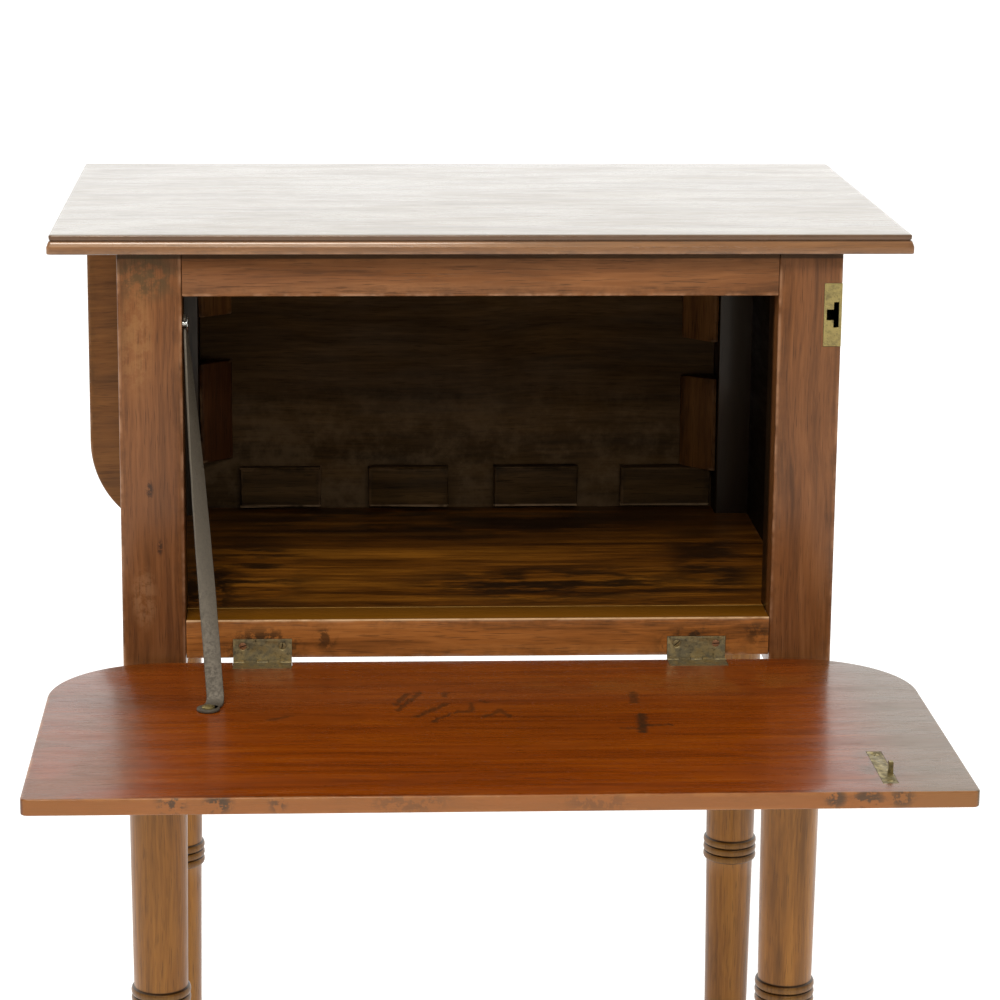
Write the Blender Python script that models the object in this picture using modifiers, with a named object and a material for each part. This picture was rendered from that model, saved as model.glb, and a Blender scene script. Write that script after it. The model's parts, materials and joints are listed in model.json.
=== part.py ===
"""Sewing table: a box on four turned legs, with a fall front and a hanging rear leaf.

Every separate piece of wood or metal is its own object. Lengths are metres. The piece is
drawn with the front faces of its legs at Y = 0, the viewer on the -Y side and the floor at
Z = 0, and the whole table is then centred over the origin by one empty.
"""
import bmesh
import bpy
import math
from mathutils import Matrix, Vector

MM = 0.001

# ---- driving sizes -------------------------------------------------------------------
TABLE_HEIGHT = 740 * MM
TOP_WIDTH = 619 * MM
TOP_THICKNESS = 14.2 * MM
FRONT_OVERHANG = 15 * MM
REAR_OVERHANG = 2.5 * MM
BOX_WIDTH = 522 * MM
BOX_DEPTH = 365 * MM
LEG_SQUARE = 46 * MM
BOX_DROP = 301.8 * MM            # underside of the top to the underside of the bottom rail
SQUARE_BELOW_RAIL = 12 * MM      # how far the leg squares run on below the rail
TOP_RAIL_HEIGHT = 32.5 * MM
TOP_RAIL_DEPTH = 22 * MM
BOTTOM_RAIL_HEIGHT = 28.7 * MM
BOTTOM_RAIL_DEPTH = 33 * MM

# ---- boards inside the frame ---------------------------------------------------------
SIDE_THICKNESS = 16 * MM
SIDE_SET_BACK = 3 * MM
BACK_THICKNESS = 10 * MM
BACK_RECESS = 8 * MM
FLOOR_THICKNESS = 8 * MM
FLOOR_REAR_GAP = 2.2 * MM
TENON_LENGTH = 22 * MM
TENON_THICKNESS = 8 * MM
TENON_SHOULDER = 4 * MM
TONGUE_LENGTH = 8 * MM
TONGUE_THICKNESS = 6 * MM

# ---- glue blocks ---------------------------------------------------------------------
REAR_BLOCK_STARTS = (-182 * MM, -74.5 * MM, 30.5 * MM, 137 * MM)
REAR_BLOCK_LENGTHS = (67 * MM, 66 * MM, 70 * MM, 74 * MM)
REAR_BLOCK_DEPTH = 12 * MM
REAR_BLOCK_HEIGHT = 33 * MM
REAR_BLOCK_LIFT = 3 * MM
CORNER_BLOCK_WIDTHS = (26 * MM, 28 * MM)     # left and right
CORNER_BLOCK_DEPTH = 24 * MM
CORNER_BLOCK_BLUNT = 4 * MM                  # ends of the sloping face, square to the timber
LOWER_CORNER_LIFTS = (44 * MM, 36 * MM)      # above the floor board
LOWER_CORNER_LENGTHS = (83 * MM, 77 * MM)
UPPER_CORNER_LENGTHS = (107 * MM, 128 * MM)
TOP_BLOCK_SIZE = (60 * MM, 18 * MM, 18 * MM)
TOP_BLOCK_OFFSET = 110 * MM
LEDGER_SECTION = 12 * MM
BLOCK_EDGE = 1.0 * MM

# ---- turned legs ---------------------------------------------------------------------
LEG_TOP_RADIUS = 22.6 * MM
LEG_WAIST_RADIUS = 20.5 * MM     # just above the lower rings
LEG_ANKLE_RADIUS = 19.8 * MM     # just below the lower rings
LEG_FOOT_RADIUS = 18.2 * MM
RING_RADIUS = 22.6 * MM
UPPER_RING_RADIUS = 22.9 * MM
RING_PITCH = 6.6 * MM
RING_COUNT = 3
LOWER_RINGS_TOP = 160 * MM
UPPER_RINGS_TOP = 398 * MM
LEG_SEGMENTS = 24

# ---- fall front and rear leaf --------------------------------------------------------
FLAP_WIDTH = 619 * MM
FLAP_DEPTH = 302 * MM
FLAP_THICKNESS = 11.2 * MM
FLAP_GAP = 4 * MM                # open flap to the front of the frame
CORNER_RADIUS = 81 * MM
FREE_CORNER_RADIUS = 5 * MM
LEAF_WIDTH = 617 * MM
LEAF_LENGTH = 302 * MM
LEAF_THICKNESS = 12 * MM
EDGE_ROUND = 1.6 * MM

# ---- hinges --------------------------------------------------------------------------
HINGE_WIDTH = 43 * MM
HINGE_REACH = 18.2 * MM          # pin axis to the edge of a plate
PLATE_THICKNESS = 1.3 * MM
KNUCKLE_RADIUS = 2.8 * MM
PIN_RADIUS = 1.2 * MM
PIN_CLEARANCE = 0.25 * MM
KNUCKLE_GAP = 0.3 * MM
BARREL_INSET = 0.06 * MM         # barrel ends inside the ends of their web
FLAP_AXIS_Y = -2.6 * MM
FLAP_AXIS_DROP = 2.0 * MM        # pin axis below the open flap's upper face
FLAP_HINGE_INSETS = (56 * MM, 54 * MM)   # hinge middles from the left and right legs
LEAF_HINGE_X = (-175 * MM, 175 * MM)
LEAF_HINGE_REACH = 26 * MM
LEAF_AXIS_DROP = 0.4 * MM        # pin axis below the underside of the top
LEAF_AXIS_OUT = 0.3 * MM         # pin axis behind the edge of the top

# ---- flap stay -----------------------------------------------------------------------
STAY_WIDTH = 14 * MM
STAY_THICKNESS = 1.8 * MM
STAY_FOOT_INSET = 20 * MM        # foot screw inside the leg's inner face
STAY_FOOT_REACH = 118 * MM       # foot screw from the flap's pin axis
STAY_FOOT_RADIUS = 8.8 * MM
STAY_BEND_BACK = 13 * MM         # bend behind the foot screw
PEG_RADIUS = 2.6 * MM
PEG_LENGTH = 4.6 * MM
PEG_SEAT = 10 * MM               # length of the peg inside the leg
PEG_INSET = 13 * MM              # peg behind the front of the frame
PEG_DROP = 22 * MM               # peg below the top rail
PEG_NOTCH_CLEARANCE = 0.6 * MM
FOOT_SCREW_RADIUS = 2.0 * MM
FOOT_SCREW_DEPTH = 10 * MM
FOOT_HEAD_RADII = (4.6 * MM, 3.0 * MM)       # under the head and at its top
FOOT_HEAD_HEIGHT = 1.8 * MM
FOOT_HEAD_SLOT = 0.7 * MM        # depth of the screwdriver slot

# ---- leaf prop -----------------------------------------------------------------------
PROP_LENGTH = 150 * MM
PROP_WIDTH = 18 * MM
PROP_THICKNESS = 2.4 * MM
PROP_STAND_OFF = 4.6 * MM        # prop axis behind the back panel
PROP_SWING = math.radians(135)
PROP_TOUCH_GAP = 0.6 * MM

# ---- lock ----------------------------------------------------------------------------
LOCK_WIDTH = 13 * MM
LOCK_HEIGHT = 46.3 * MM
LOCK_DEPTH = 38 * MM
LOCK_TOP_DROP = 23.5 * MM        # lock plate below the underside of the top
LOCK_PLATE = 2 * MM
CASE_WALL = 1.2 * MM
SLOT_WIDTH = 4.1 * MM
SLOT_HEIGHT = 18.7 * MM
SLOT_EDGE = 3.8 * MM             # slot centre from the leg's outer face
NOTCH_WIDTH = 5.1 * MM
NOTCH_HEIGHT = 7.8 * MM
BOLT_SIZE = (3.2 * MM, 26 * MM, 8.4 * MM)
BOLT_TRAVEL = 2.6 * MM
BOLT_LUG = 2.3 * MM              # front of the bolt, which rises into the horn's bite
KEYHOLE_RADIUS = 2.2 * MM
CATCH_PLATE_SIZE = (10 * MM, 66 * MM, 1.6 * MM)
CATCH_SHIFT = 6 * MM             # catch plate's centre towards the hinge from its horn
HORN_WIDTH = 3.0 * MM
HORN_REACH = 8.5 * MM
HORN_HEIGHT = 4.0 * MM
HORN_BITE = 2.2 * MM
HORN_START = 0.7 * MM            # horn below the raised bolt's underside
BITE_STRETCH = (1.8 * MM, 6.2 * MM)          # bite, measured down from the horn's tip
CATCH_OFFSET = 3.4 * MM          # catch plate's centre from its horn

# ---- screws and clearances -----------------------------------------------------------
SCREW_HEAD = 3.0 * MM
SCREW_SHANK = 1.3 * MM
SCREW_LENGTH = 12 * MM
SCREW_SLOT = 0.7 * MM
SCREW_NECK = 1.7 * MM              # head's radius where it meets the shank
RAIL_SCREW_END = 7 * MM          # rail screws from the ends of their plate
RAIL_SCREW_EDGE = 5.5 * MM       # and from its long edge
CATCH_SCREW_END = 6.5 * MM
FIT = 0.3 * MM

# ---- places worked out from the sizes ------------------------------------------------
UNDERSIDE = TABLE_HEIGHT - TOP_THICKNESS
RAIL_BOTTOM = UNDERSIDE - BOX_DROP
OPENING_TOP = UNDERSIDE - TOP_RAIL_HEIGHT
FLOOR_LEVEL = RAIL_BOTTOM + BOTTOM_RAIL_HEIGHT
SQUARE_BOTTOM = RAIL_BOTTOM - SQUARE_BELOW_RAIL
HALF_BOX = BOX_WIDTH / 2
LEG_INNER = HALF_BOX - LEG_SQUARE
FLAP_HINGE_X = (-LEG_INNER + FLAP_HINGE_INSETS[0], LEG_INNER - FLAP_HINGE_INSETS[1])
LEG_CENTRE_X = HALF_BOX - LEG_SQUARE / 2
REAR_LEG_FRONT = BOX_DEPTH - LEG_SQUARE
SIDE_OUTER = HALF_BOX - SIDE_SET_BACK
SIDE_INNER = SIDE_OUTER - SIDE_THICKNESS
BACK_REAR = BOX_DEPTH - BACK_RECESS
BACK_FACE = BACK_REAR - BACK_THICKNESS
TOP_REAR = BOX_DEPTH + REAR_OVERHANG
FLAP_TOP = RAIL_BOTTOM - KNUCKLE_RADIUS + FLAP_AXIS_DROP - 4 * FIT
FLAP_AXIS = Vector((0, FLAP_AXIS_Y, FLAP_TOP - FLAP_AXIS_DROP))
FLAP_FRONT = -FLAP_GAP - FLAP_DEPTH
LEAF_AXIS = Vector((0, TOP_REAR + LEAF_AXIS_OUT, UNDERSIDE - LEAF_AXIS_DROP))
LEAF_FACE = LEAF_AXIS.y + LEAF_AXIS_DROP
LEAF_TOP = LEAF_AXIS.z - LEAF_AXIS_OUT
PEG = Vector((-LEG_INNER, PEG_INSET, OPENING_TOP - PEG_DROP))
STAY_FOOT = Vector((-LEG_INNER + STAY_FOOT_INSET, FLAP_AXIS.y - STAY_FOOT_REACH, FLAP_TOP))
LOCK_CENTRE_Z = UNDERSIDE - LOCK_TOP_DROP - LOCK_HEIGHT / 2
SLOT_X = HALF_BOX - SLOT_EDGE
PROP_AXIS_Y = BACK_REAR + PROP_STAND_OFF
PROP_RISE = PROP_LENGTH * abs(math.cos(PROP_SWING)) + PROP_THICKNESS / 2
PROP_AXIS = Vector((0, PROP_AXIS_Y, UNDERSIDE - PROP_RISE - PROP_TOUCH_GAP))
FRAME_CENTRE_Y = (FLAP_FRONT + LEAF_FACE + LEAF_THICKNESS) / 2

ALONG_X = Vector((1, 0, 0))
ALONG_Y = Vector((0, 1, 0))
ALONG_Z = Vector((0, 0, 1))


# ---- scene and helpers ---------------------------------------------------------------
for old in list(bpy.data.objects):
    bpy.data.objects.remove(old, do_unlink=True)

parts = bpy.data.collections.new("sewing_table")
cutters = bpy.data.collections.new("cutters")
bpy.context.scene.collection.children.link(parts)
bpy.context.scene.collection.children.link(cutters)


def finish(name, colour, roughness, metallic=0.0):
    """One Principled material."""
    made = bpy.data.materials.new(name)
    made.use_nodes = True
    shader = made.node_tree.nodes["Principled BSDF"]
    shader.inputs["Base Color"].default_value = (*colour, 1.0)
    shader.inputs["Roughness"].default_value = roughness
    shader.inputs["Metallic"].default_value = metallic
    made.diffuse_color = (*colour, 1.0)
    return made


def wood(name, colour=(0.17, 0.062, 0.027), roughness=0.4):
    return finish(name + "_wood", colour, roughness)


def brass(name):
    return finish(name + "_brass", (0.27, 0.21, 0.09), 0.38, 0.9)


def iron(name):
    return finish(name + "_iron", (0.07, 0.055, 0.045), 0.5, 0.8)


def place(name, mesh, material=None, cutter=False):
    """Put a mesh in the scene as a part or as a cutter."""
    made = bpy.data.objects.new(name, mesh)
    if cutter:
        cutters.objects.link(made)
        made.hide_render = True
        made.display_type = "WIRE"
    else:
        parts.objects.link(made)
        made.data.materials.append(material)
    return made


def box(name, low, high, material=None, edge=0.0, cutter=False):
    """A block between two corners, with eased edges when edge is given."""
    low = Vector(low)
    high = Vector(high)
    mesh = bpy.data.meshes.new(name)
    shape = bmesh.new()
    bmesh.ops.create_cube(shape, size=1.0)
    bmesh.ops.scale(shape, vec=high - low, verts=shape.verts)
    shape.to_mesh(mesh)
    shape.free()
    made = place(name, mesh, material, cutter)
    made.location = (low + high) / 2
    if edge > 0:
        ease = made.modifiers.new("eased edges", "BEVEL")
        ease.width = edge
        ease.segments = 2
        ease.limit_method = "ANGLE"
    return made


def rod(name, centre, axis, radius, length, material=None, end_radius=None, sides=20, cutter=False):
    """A cylinder, or a cone when end_radius is given, with its middle at centre."""
    mesh = bpy.data.meshes.new(name)
    shape = bmesh.new()
    far = radius if end_radius is None else end_radius
    bmesh.ops.create_cone(shape, cap_ends=True, segments=sides, radius1=radius, radius2=far, depth=length)
    shape.transform(ALONG_Z.rotation_difference(Vector(axis)).to_matrix().to_4x4())
    shape.to_mesh(mesh)
    shape.free()
    made = place(name, mesh, material, cutter)
    made.location = centre
    return made


def combine(target, other, operation):
    """Add a Boolean to the target; the other solid becomes hidden tooling."""
    step = target.modifiers.new(other.name, "BOOLEAN")
    step.operation = operation
    step.solver = "EXACT"
    step.object = other
    return target


def cut(target, *tools):
    for tool in tools:
        combine(target, tool, "DIFFERENCE")


def join(target, *pieces):
    for piece in pieces:
        combine(target, piece, "UNION")


def to_mesh_object(curve_object, material=None, cutter=False):
    """Turn a filled curve into a welded mesh object in the same place."""
    bpy.context.view_layer.update()
    depsgraph = bpy.context.evaluated_depsgraph_get()
    mesh = bpy.data.meshes.new_from_object(curve_object.evaluated_get(depsgraph))
    shape = bmesh.new()
    shape.from_mesh(mesh)
    bmesh.ops.remove_doubles(shape, verts=shape.verts, dist=0.00001)
    bmesh.ops.recalc_face_normals(shape, faces=shape.faces)
    shape.to_mesh(mesh)
    shape.free()
    mesh.materials.clear()
    name = curve_object.name
    world = curve_object.matrix_world.copy()
    bpy.data.objects.remove(curve_object, do_unlink=True)
    made = place(name, mesh, material, cutter)
    made.matrix_world = world
    return made


def arc(centre_x, centre_y, radius, start, end, steps):
    """Points of an arc, angles in degrees."""
    points = []
    for step in range(steps + 1):
        angle = math.radians(start + (end - start) * step / steps)
        points.append((centre_x + radius * math.cos(angle), centre_y + radius * math.sin(angle)))
    return points


def leaf_outline(width, length, rounded, squarer):
    """A leaf with large rounded corners on the hinge side (y = 0) or the far side."""
    half = width / 2
    outline = arc(-half + rounded, -rounded, rounded, 180, 90, 10)
    outline += arc(half - rounded, -rounded, rounded, 90, 0, 10)
    outline += arc(half - squarer, -length + squarer, squarer, 0, -90, 4)
    outline += arc(-half + squarer, -length + squarer, squarer, -90, -180, 4)
    return outline


def board_from_outline(name, outline, thickness, material, ease=EDGE_ROUND):
    """A flat board with its upper face at local Z = 0 and rounded edges."""
    curve = bpy.data.curves.new(name, "CURVE")
    curve.dimensions = "2D"
    curve.fill_mode = "BOTH"
    curve.extrude = thickness / 2
    line = curve.splines.new("POLY")
    line.points.add(len(outline) - 1)
    for point, (x, y) in zip(line.points, outline):
        point.co = (x, y, 0, 1)
    line.use_cyclic_u = True
    made = bpy.data.objects.new(name, curve)
    parts.objects.link(made)
    board = to_mesh_object(made, material)
    board.data.transform(Matrix.Translation((0, 0, -thickness / 2)))
    rounding = board.modifiers.new("rounded edges", "BEVEL")
    rounding.width = ease
    rounding.segments = 2
    rounding.limit_method = "ANGLE"
    rounding.angle_limit = math.radians(60)
    return board


def turned(name, profile, centre_x, centre_y, segments, cutter=True, material=None):
    """A turned solid from (radius, height) points that run from top to bottom."""
    mesh = bpy.data.meshes.new(name)
    shape = bmesh.new()
    corners = [shape.verts.new((radius, 0, height)) for radius, height in profile]
    for first, second in zip(corners, corners[1:]):
        shape.edges.new((first, second))
    shape.to_mesh(mesh)
    shape.free()
    made = place(name, mesh, material, cutter)
    made.location = (centre_x, centre_y, 0)
    spin = made.modifiers.new("turning", "SCREW")
    spin.steps = segments
    spin.render_steps = segments
    spin.use_merge_vertices = True
    spin.merge_threshold = 0.00001
    spin.use_smooth_shade = True
    return made


def set_origin(made, point):
    """Move a mesh object's origin to a point without moving its shape."""
    offset = Vector(point) - made.location
    made.data.transform(Matrix.Translation(-offset))
    made.location = Vector(point)


def mirrored_x(low, high, side):
    """Swap and negate the X limits of a box for the left side (side = -1)."""
    if side > 0:
        return low, high
    return (-high[0], low[1], low[2]), (-low[0], high[1], high[2])


# ---- wood screw ----------------------------------------------------------------------
def wood_screw(name, head_point, outward, plate, timber):
    """A slotted countersunk screw whose head is flush at head_point."""
    outward = Vector(outward)
    head_depth = PLATE_THICKNESS
    head_centre = Vector(head_point) - outward * (head_depth / 2 + FIT / 2)
    shank_centre = Vector(head_point) - outward * (SCREW_LENGTH / 2)
    screw = rod(name, head_centre, outward, SCREW_NECK, head_depth - FIT, brass(name),
                end_radius=SCREW_HEAD - FIT, sides=16)
    shank_length = SCREW_LENGTH - 2 * FIT - head_depth / 2
    join(screw, rod(name + "_shank", shank_centre, outward, SCREW_SHANK, shank_length,
                    sides=16, cutter=True))
    slot_half = Vector((SCREW_SLOT / 2, SCREW_HEAD * 1.2, SCREW_SLOT / 2))
    if abs(outward.y) > 0.5:
        slot_half = Vector((SCREW_SLOT / 2, SCREW_SLOT / 2, SCREW_HEAD * 1.2))
    slot_centre = Vector(head_point) - outward * FIT / 2
    cut(screw, box(name + "_slot", slot_centre - slot_half, slot_centre + slot_half, cutter=True))
    sink_centre = Vector(head_point) - outward * (head_depth / 2)
    cut(plate, rod(name + "_sink", sink_centre, outward, SCREW_NECK + FIT, head_depth + 0.02 * MM,
                   end_radius=SCREW_HEAD + FIT / 2, sides=16, cutter=True))
    hole_centre = Vector(head_point) - outward * (SCREW_LENGTH / 2 + head_depth / 4)
    hole = rod(name + "_hole", hole_centre, outward, SCREW_SHANK + FIT, SCREW_LENGTH + 2 * FIT,
               sides=16, cutter=True)
    cut(plate, hole)
    cut(timber, hole)
    return screw


# ---- hinge ---------------------------------------------------------------------------
def hinge_plate(name, axis, direction, normal, lift, reach, thickness, width, material, knuckles):
    """One leaf of a hinge: a plate, its root and the knuckles it owns.

    The plate runs from the pin axis along direction; its outer face lies at lift along
    normal. knuckles holds the (start, end) stretches along X, measured from the middle.
    """
    direction = Vector(direction)
    normal = Vector(normal)

    def slab(label, start, end, x_low, x_high, n_low, n_high, cutter=True, made_of=None):
        corners = []
        for along in (start, end):
            for across in (n_low, n_high):
                corners.append(axis + direction * along + normal * across)
        low = Vector((axis.x + x_low, min(c.y for c in corners), min(c.z for c in corners)))
        high = Vector((axis.x + x_high, max(c.y for c in corners), max(c.z for c in corners)))
        return box(label, low, high, made_of, cutter=cutter)

    clear = KNUCKLE_RADIUS + FIT
    plate = slab(name, 0, reach, -width / 2, width / 2, lift - thickness, lift,
                 cutter=False, made_of=material)
    edges = [-width / 2 - FIT]
    for start, end in knuckles:
        edges += [start, end]
    edges.append(width / 2 + FIT)
    for number, (low, high) in enumerate(zip(edges[::2], edges[1::2])):
        if high - low <= KNUCKLE_GAP + FIT:
            continue
        if lift <= -KNUCKLE_RADIUS / 2:     # the plate passes behind the barrel
            relief = rod(f"{name}_relief_{number}", axis + ALONG_X * (low + high) / 2, ALONG_X, clear,
                         high - low, sides=16, cutter=True)
        else:
            relief = slab(f"{name}_relief_{number}", -clear, clear, low, high,
                          lift - 2 * thickness, lift + thickness)
        cut(plate, relief)
    for number, (start, end) in enumerate(knuckles):
        n_low = min(lift - thickness + BARREL_INSET, 0)
        n_high = max(lift - BARREL_INSET, 0)
        root = slab(f"{name}_root_{number}", 0, KNUCKLE_RADIUS, start + 2 * BARREL_INSET,
                    end - 2 * BARREL_INSET, n_low, n_high)
        barrel_centre = axis + ALONG_X * ((start + end) / 2)
        barrel = rod(f"{name}_barrel_{number}", barrel_centre, ALONG_X, KNUCKLE_RADIUS,
                     end - start - 2 * BARREL_INSET, sides=16, cutter=True)
        join(plate, root, barrel)
    bore = rod(f"{name}_bore", axis, ALONG_X, PIN_RADIUS + PIN_CLEARANCE, HINGE_WIDTH + 4 * FIT,
               sides=16, cutter=True)
    cut(plate, bore)
    return plate


def knuckle_stretches(width, count):
    """Split the hinge's width into knuckles with small gaps between them."""
    pitch = width / count
    fixed = []
    moving = []
    for number in range(count):
        start = -width / 2 + number * pitch + (KNUCKLE_GAP / 2 if number else 0)
        end = -width / 2 + (number + 1) * pitch - (KNUCKLE_GAP / 2 if number < count - 1 else 0)
        (fixed if number % 2 == 0 else moving).append((start, end))
    return fixed, moving


def hinge(name, axis, fixed_side, moving_side, material_name):
    """A pinned hinge. Each side is (node, direction, normal, lift, reach, thickness, width)."""
    fixed, moving = knuckle_stretches(HINGE_WIDTH, 5)
    made = []
    for side, knuckles in ((fixed_side, fixed), (moving_side, moving)):
        node, direction, normal, lift, reach, thickness, width = side
        material = brass(node) if material_name == "brass" else iron(node)
        made.append(hinge_plate(node, axis, direction, normal, lift, reach, thickness, width,
                                material, knuckles))
    pin = rod(name + "_pin", axis, ALONG_X, PIN_RADIUS, HINGE_WIDTH - FIT, iron(name + "_pin"),
              sides=16)
    return made[0], made[1], pin


# ---- legs ----------------------------------------------------------------------------
def beads(top, count, pitch, outer):
    """Rounded rings, one under another, as (radius, height) points."""
    points = []
    valley = outer - pitch * 0.24
    for number in range(count):
        centre = top - pitch * (number + 0.5)
        for angle in (70, 35, 0, -35, -70):
            turn = math.radians(angle)
            radius = valley + (outer - valley) * math.cos(turn)
            points.append((radius, centre + pitch / 2 * math.sin(turn)))
    return points


def leg_profile():
    """The turned part of a leg, from inside its square down to the floor."""
    profile = [(0.0, SQUARE_BOTTOM + 10 * MM)]
    profile.append((LEG_TOP_RADIUS, SQUARE_BOTTOM + 10 * MM))
    profile.append((LEG_TOP_RADIUS - 1 * MM, UPPER_RINGS_TOP + 2 * MM))
    profile += beads(UPPER_RINGS_TOP, RING_COUNT, RING_PITCH, UPPER_RING_RADIUS)
    ring_depth = RING_COUNT * RING_PITCH
    profile.append((LEG_TOP_RADIUS - 0.3 * MM, UPPER_RINGS_TOP - ring_depth - 2 * MM))
    profile.append((LEG_WAIST_RADIUS, LOWER_RINGS_TOP + 2 * MM))
    profile += beads(LOWER_RINGS_TOP, RING_COUNT, RING_PITCH, RING_RADIUS)
    profile.append((LEG_ANKLE_RADIUS, LOWER_RINGS_TOP - ring_depth - 2 * MM))
    profile.append((LEG_FOOT_RADIUS, 3 * MM))
    profile.append((LEG_FOOT_RADIUS - 1.5 * MM, 0.0))
    profile.append((0.0, 0.0))
    return profile


def make_leg(name, side, is_rear):
    low_y = REAR_LEG_FRONT if is_rear else 0.0
    low, high = mirrored_x((LEG_INNER, low_y, SQUARE_BOTTOM),
                           (HALF_BOX, low_y + LEG_SQUARE, UNDERSIDE - FIT), side)
    leg = box(name, low, high, wood(name), edge=1.2 * MM)
    shaft = turned(name + "_turning", leg_profile(), side * LEG_CENTRE_X, low_y + LEG_SQUARE / 2,
                   LEG_SEGMENTS)
    join(leg, shaft)
    return leg


legs = {}
for side, side_name in ((-1, "left"), (1, "right")):
    for is_rear, depth_name in ((False, "front"), (True, "rear")):
        legs[side, is_rear] = make_leg(f"leg_{depth_name}_{side_name}", side, is_rear)


# ---- front rails, with tenons through into the leg mortises --------------------------
def front_rail(name, low_z, high_z, depth):
    rail = box(name, (-LEG_INNER + FIT, 0, low_z), (LEG_INNER - FIT, depth, high_z), wood(name),
               edge=0.6 * MM)
    tenon_y = depth / 2
    reach = LEG_INNER + TENON_LENGTH
    tenon_low = (-reach + FIT, tenon_y - TENON_THICKNESS / 2, low_z + TENON_SHOULDER)
    tenon_high = (reach - FIT, tenon_y + TENON_THICKNESS / 2, high_z - TENON_SHOULDER)
    join(rail, box(name + "_tenons", tenon_low, tenon_high, cutter=True))
    mortise = box(name + "_mortises",
                  (-reach, tenon_low[1] - FIT, tenon_low[2] - FIT),
                  (reach, tenon_high[1] + FIT, tenon_high[2] + FIT), cutter=True)
    for side in (-1, 1):
        cut(legs[side, False], mortise)
    return rail


top_rail = front_rail("top_rail", OPENING_TOP, UNDERSIDE - FIT, TOP_RAIL_DEPTH)
bottom_rail = front_rail("bottom_rail", RAIL_BOTTOM, FLOOR_LEVEL, BOTTOM_RAIL_DEPTH)


# ---- side panels and back panel, tongued into the legs -------------------------------
for side, side_name in ((-1, "left"), (1, "right")):
    low, high = mirrored_x((SIDE_INNER, LEG_SQUARE + FIT, RAIL_BOTTOM),
                           (SIDE_OUTER, REAR_LEG_FRONT - FIT, UNDERSIDE - FIT), side)
    name = f"side_panel_{side_name}"
    panel = box(name, low, high, wood(name), edge=0.6 * MM)
    middle = (SIDE_INNER + SIDE_OUTER) / 2
    tongue_half = TONGUE_THICKNESS / 2
    low, high = mirrored_x(
        (middle - tongue_half, LEG_SQUARE - TONGUE_LENGTH + FIT, RAIL_BOTTOM + TENON_SHOULDER),
        (middle + tongue_half, REAR_LEG_FRONT + TONGUE_LENGTH - FIT, UNDERSIDE - TENON_SHOULDER), side)
    join(panel, box(name + "_tongue", low, high, cutter=True))
    groove = box(name + "_groove", Vector(low) - Vector((FIT, FIT, FIT)),
                 Vector(high) + Vector((FIT, FIT, FIT)), cutter=True)
    cut(legs[side, False], groove)
    cut(legs[side, True], groove)

back_panel = box("back_panel", (-LEG_INNER + FIT, BACK_FACE, RAIL_BOTTOM),
                 (LEG_INNER - FIT, BACK_REAR, UNDERSIDE - FIT), wood("back_panel"), edge=0.5 * MM)
back_middle = (BACK_FACE + BACK_REAR) / 2
back_tongue = TONGUE_THICKNESS * 2 / 3
tongue_end = LEG_INNER + TONGUE_LENGTH - FIT
tongue_low = Vector((-tongue_end, back_middle - back_tongue / 2, RAIL_BOTTOM + TENON_SHOULDER))
tongue_high = Vector((tongue_end, back_middle + back_tongue / 2, UNDERSIDE - TENON_SHOULDER))
join(back_panel, box("back_panel_tongue", tongue_low, tongue_high, cutter=True))
back_groove = box("back_panel_groove", tongue_low - Vector((FIT, FIT, FIT)),
                  tongue_high + Vector((FIT, FIT, FIT)), cutter=True)
for side in (-1, 1):
    cut(legs[side, True], back_groove)


# ---- floor board, notched round the legs, and the ledgers it rests on ----------------
FLOOR_TOP = FLOOR_LEVEL - FIT
floor_board = box("floor_board", (-SIDE_INNER + FIT, BOTTOM_RAIL_DEPTH + FIT, FLOOR_TOP - FLOOR_THICKNESS),
                  (SIDE_INNER - FIT, BACK_FACE - FLOOR_REAR_GAP, FLOOR_TOP), wood("floor_board"))
for side, side_name in ((-1, "left"), (1, "right")):
    for is_rear in (False, True):
        low_y = REAR_LEG_FRONT - FIT if is_rear else -LEG_SQUARE
        low, high = mirrored_x((LEG_INNER - FIT, low_y, RAIL_BOTTOM),
                               (HALF_BOX, low_y + 2 * LEG_SQUARE + FIT, OPENING_TOP), side)
        cut(floor_board, box(f"floor_notch_{side_name}_{is_rear}", low, high, cutter=True))
    ledger_top = FLOOR_TOP - FLOOR_THICKNESS - FIT
    ledger_inner = SIDE_INNER - FIT - LEDGER_SECTION
    low, high = mirrored_x((ledger_inner, LEG_SQUARE + 2 * FIT, ledger_top - LEDGER_SECTION),
                           (SIDE_INNER - FIT, REAR_LEG_FRONT - 2 * FIT, ledger_top), side)
    name = f"floor_ledger_{side_name}"
    box(name, low, high, wood(name), edge=0.6 * MM)


# ---- glue blocks ---------------------------------------------------------------------
rear_block_low = FLOOR_TOP + REAR_BLOCK_LIFT
for number, (start, length) in enumerate(zip(REAR_BLOCK_STARTS, REAR_BLOCK_LENGTHS), start=1):
    name = f"rear_glue_block_{number}"
    box(name, (start, BACK_FACE - FIT - REAR_BLOCK_DEPTH, rear_block_low),
        (start + length, BACK_FACE - FIT, rear_block_low + REAR_BLOCK_HEIGHT), wood(name), edge=BLOCK_EDGE)


def sloping_face(name, low, high, side):
    """A tilted cutter that turns a square corner block into a three-cornered one."""
    width = high[0] - low[0] - CORNER_BLOCK_BLUNT
    depth = high[1] - low[1] - CORNER_BLOCK_BLUNT
    slope = math.atan2(depth, width)
    reach = width + depth
    inner_x = low[0] if side > 0 else high[0]
    start = Vector((inner_x, high[1] - CORNER_BLOCK_BLUNT, (low[2] + high[2]) / 2))
    along = Vector((side * math.cos(slope), -math.sin(slope), 0))
    outward = Vector((-side * math.sin(slope), -math.cos(slope), 0))
    height = high[2] - low[2]
    tool = box(name, (-reach, -reach / 2, -height), (reach, reach / 2, height), cutter=True)
    tool.rotation_euler.z = -side * slope
    tool.location = start + along * (width + depth) / 4 + outward * reach / 2
    return tool


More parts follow.
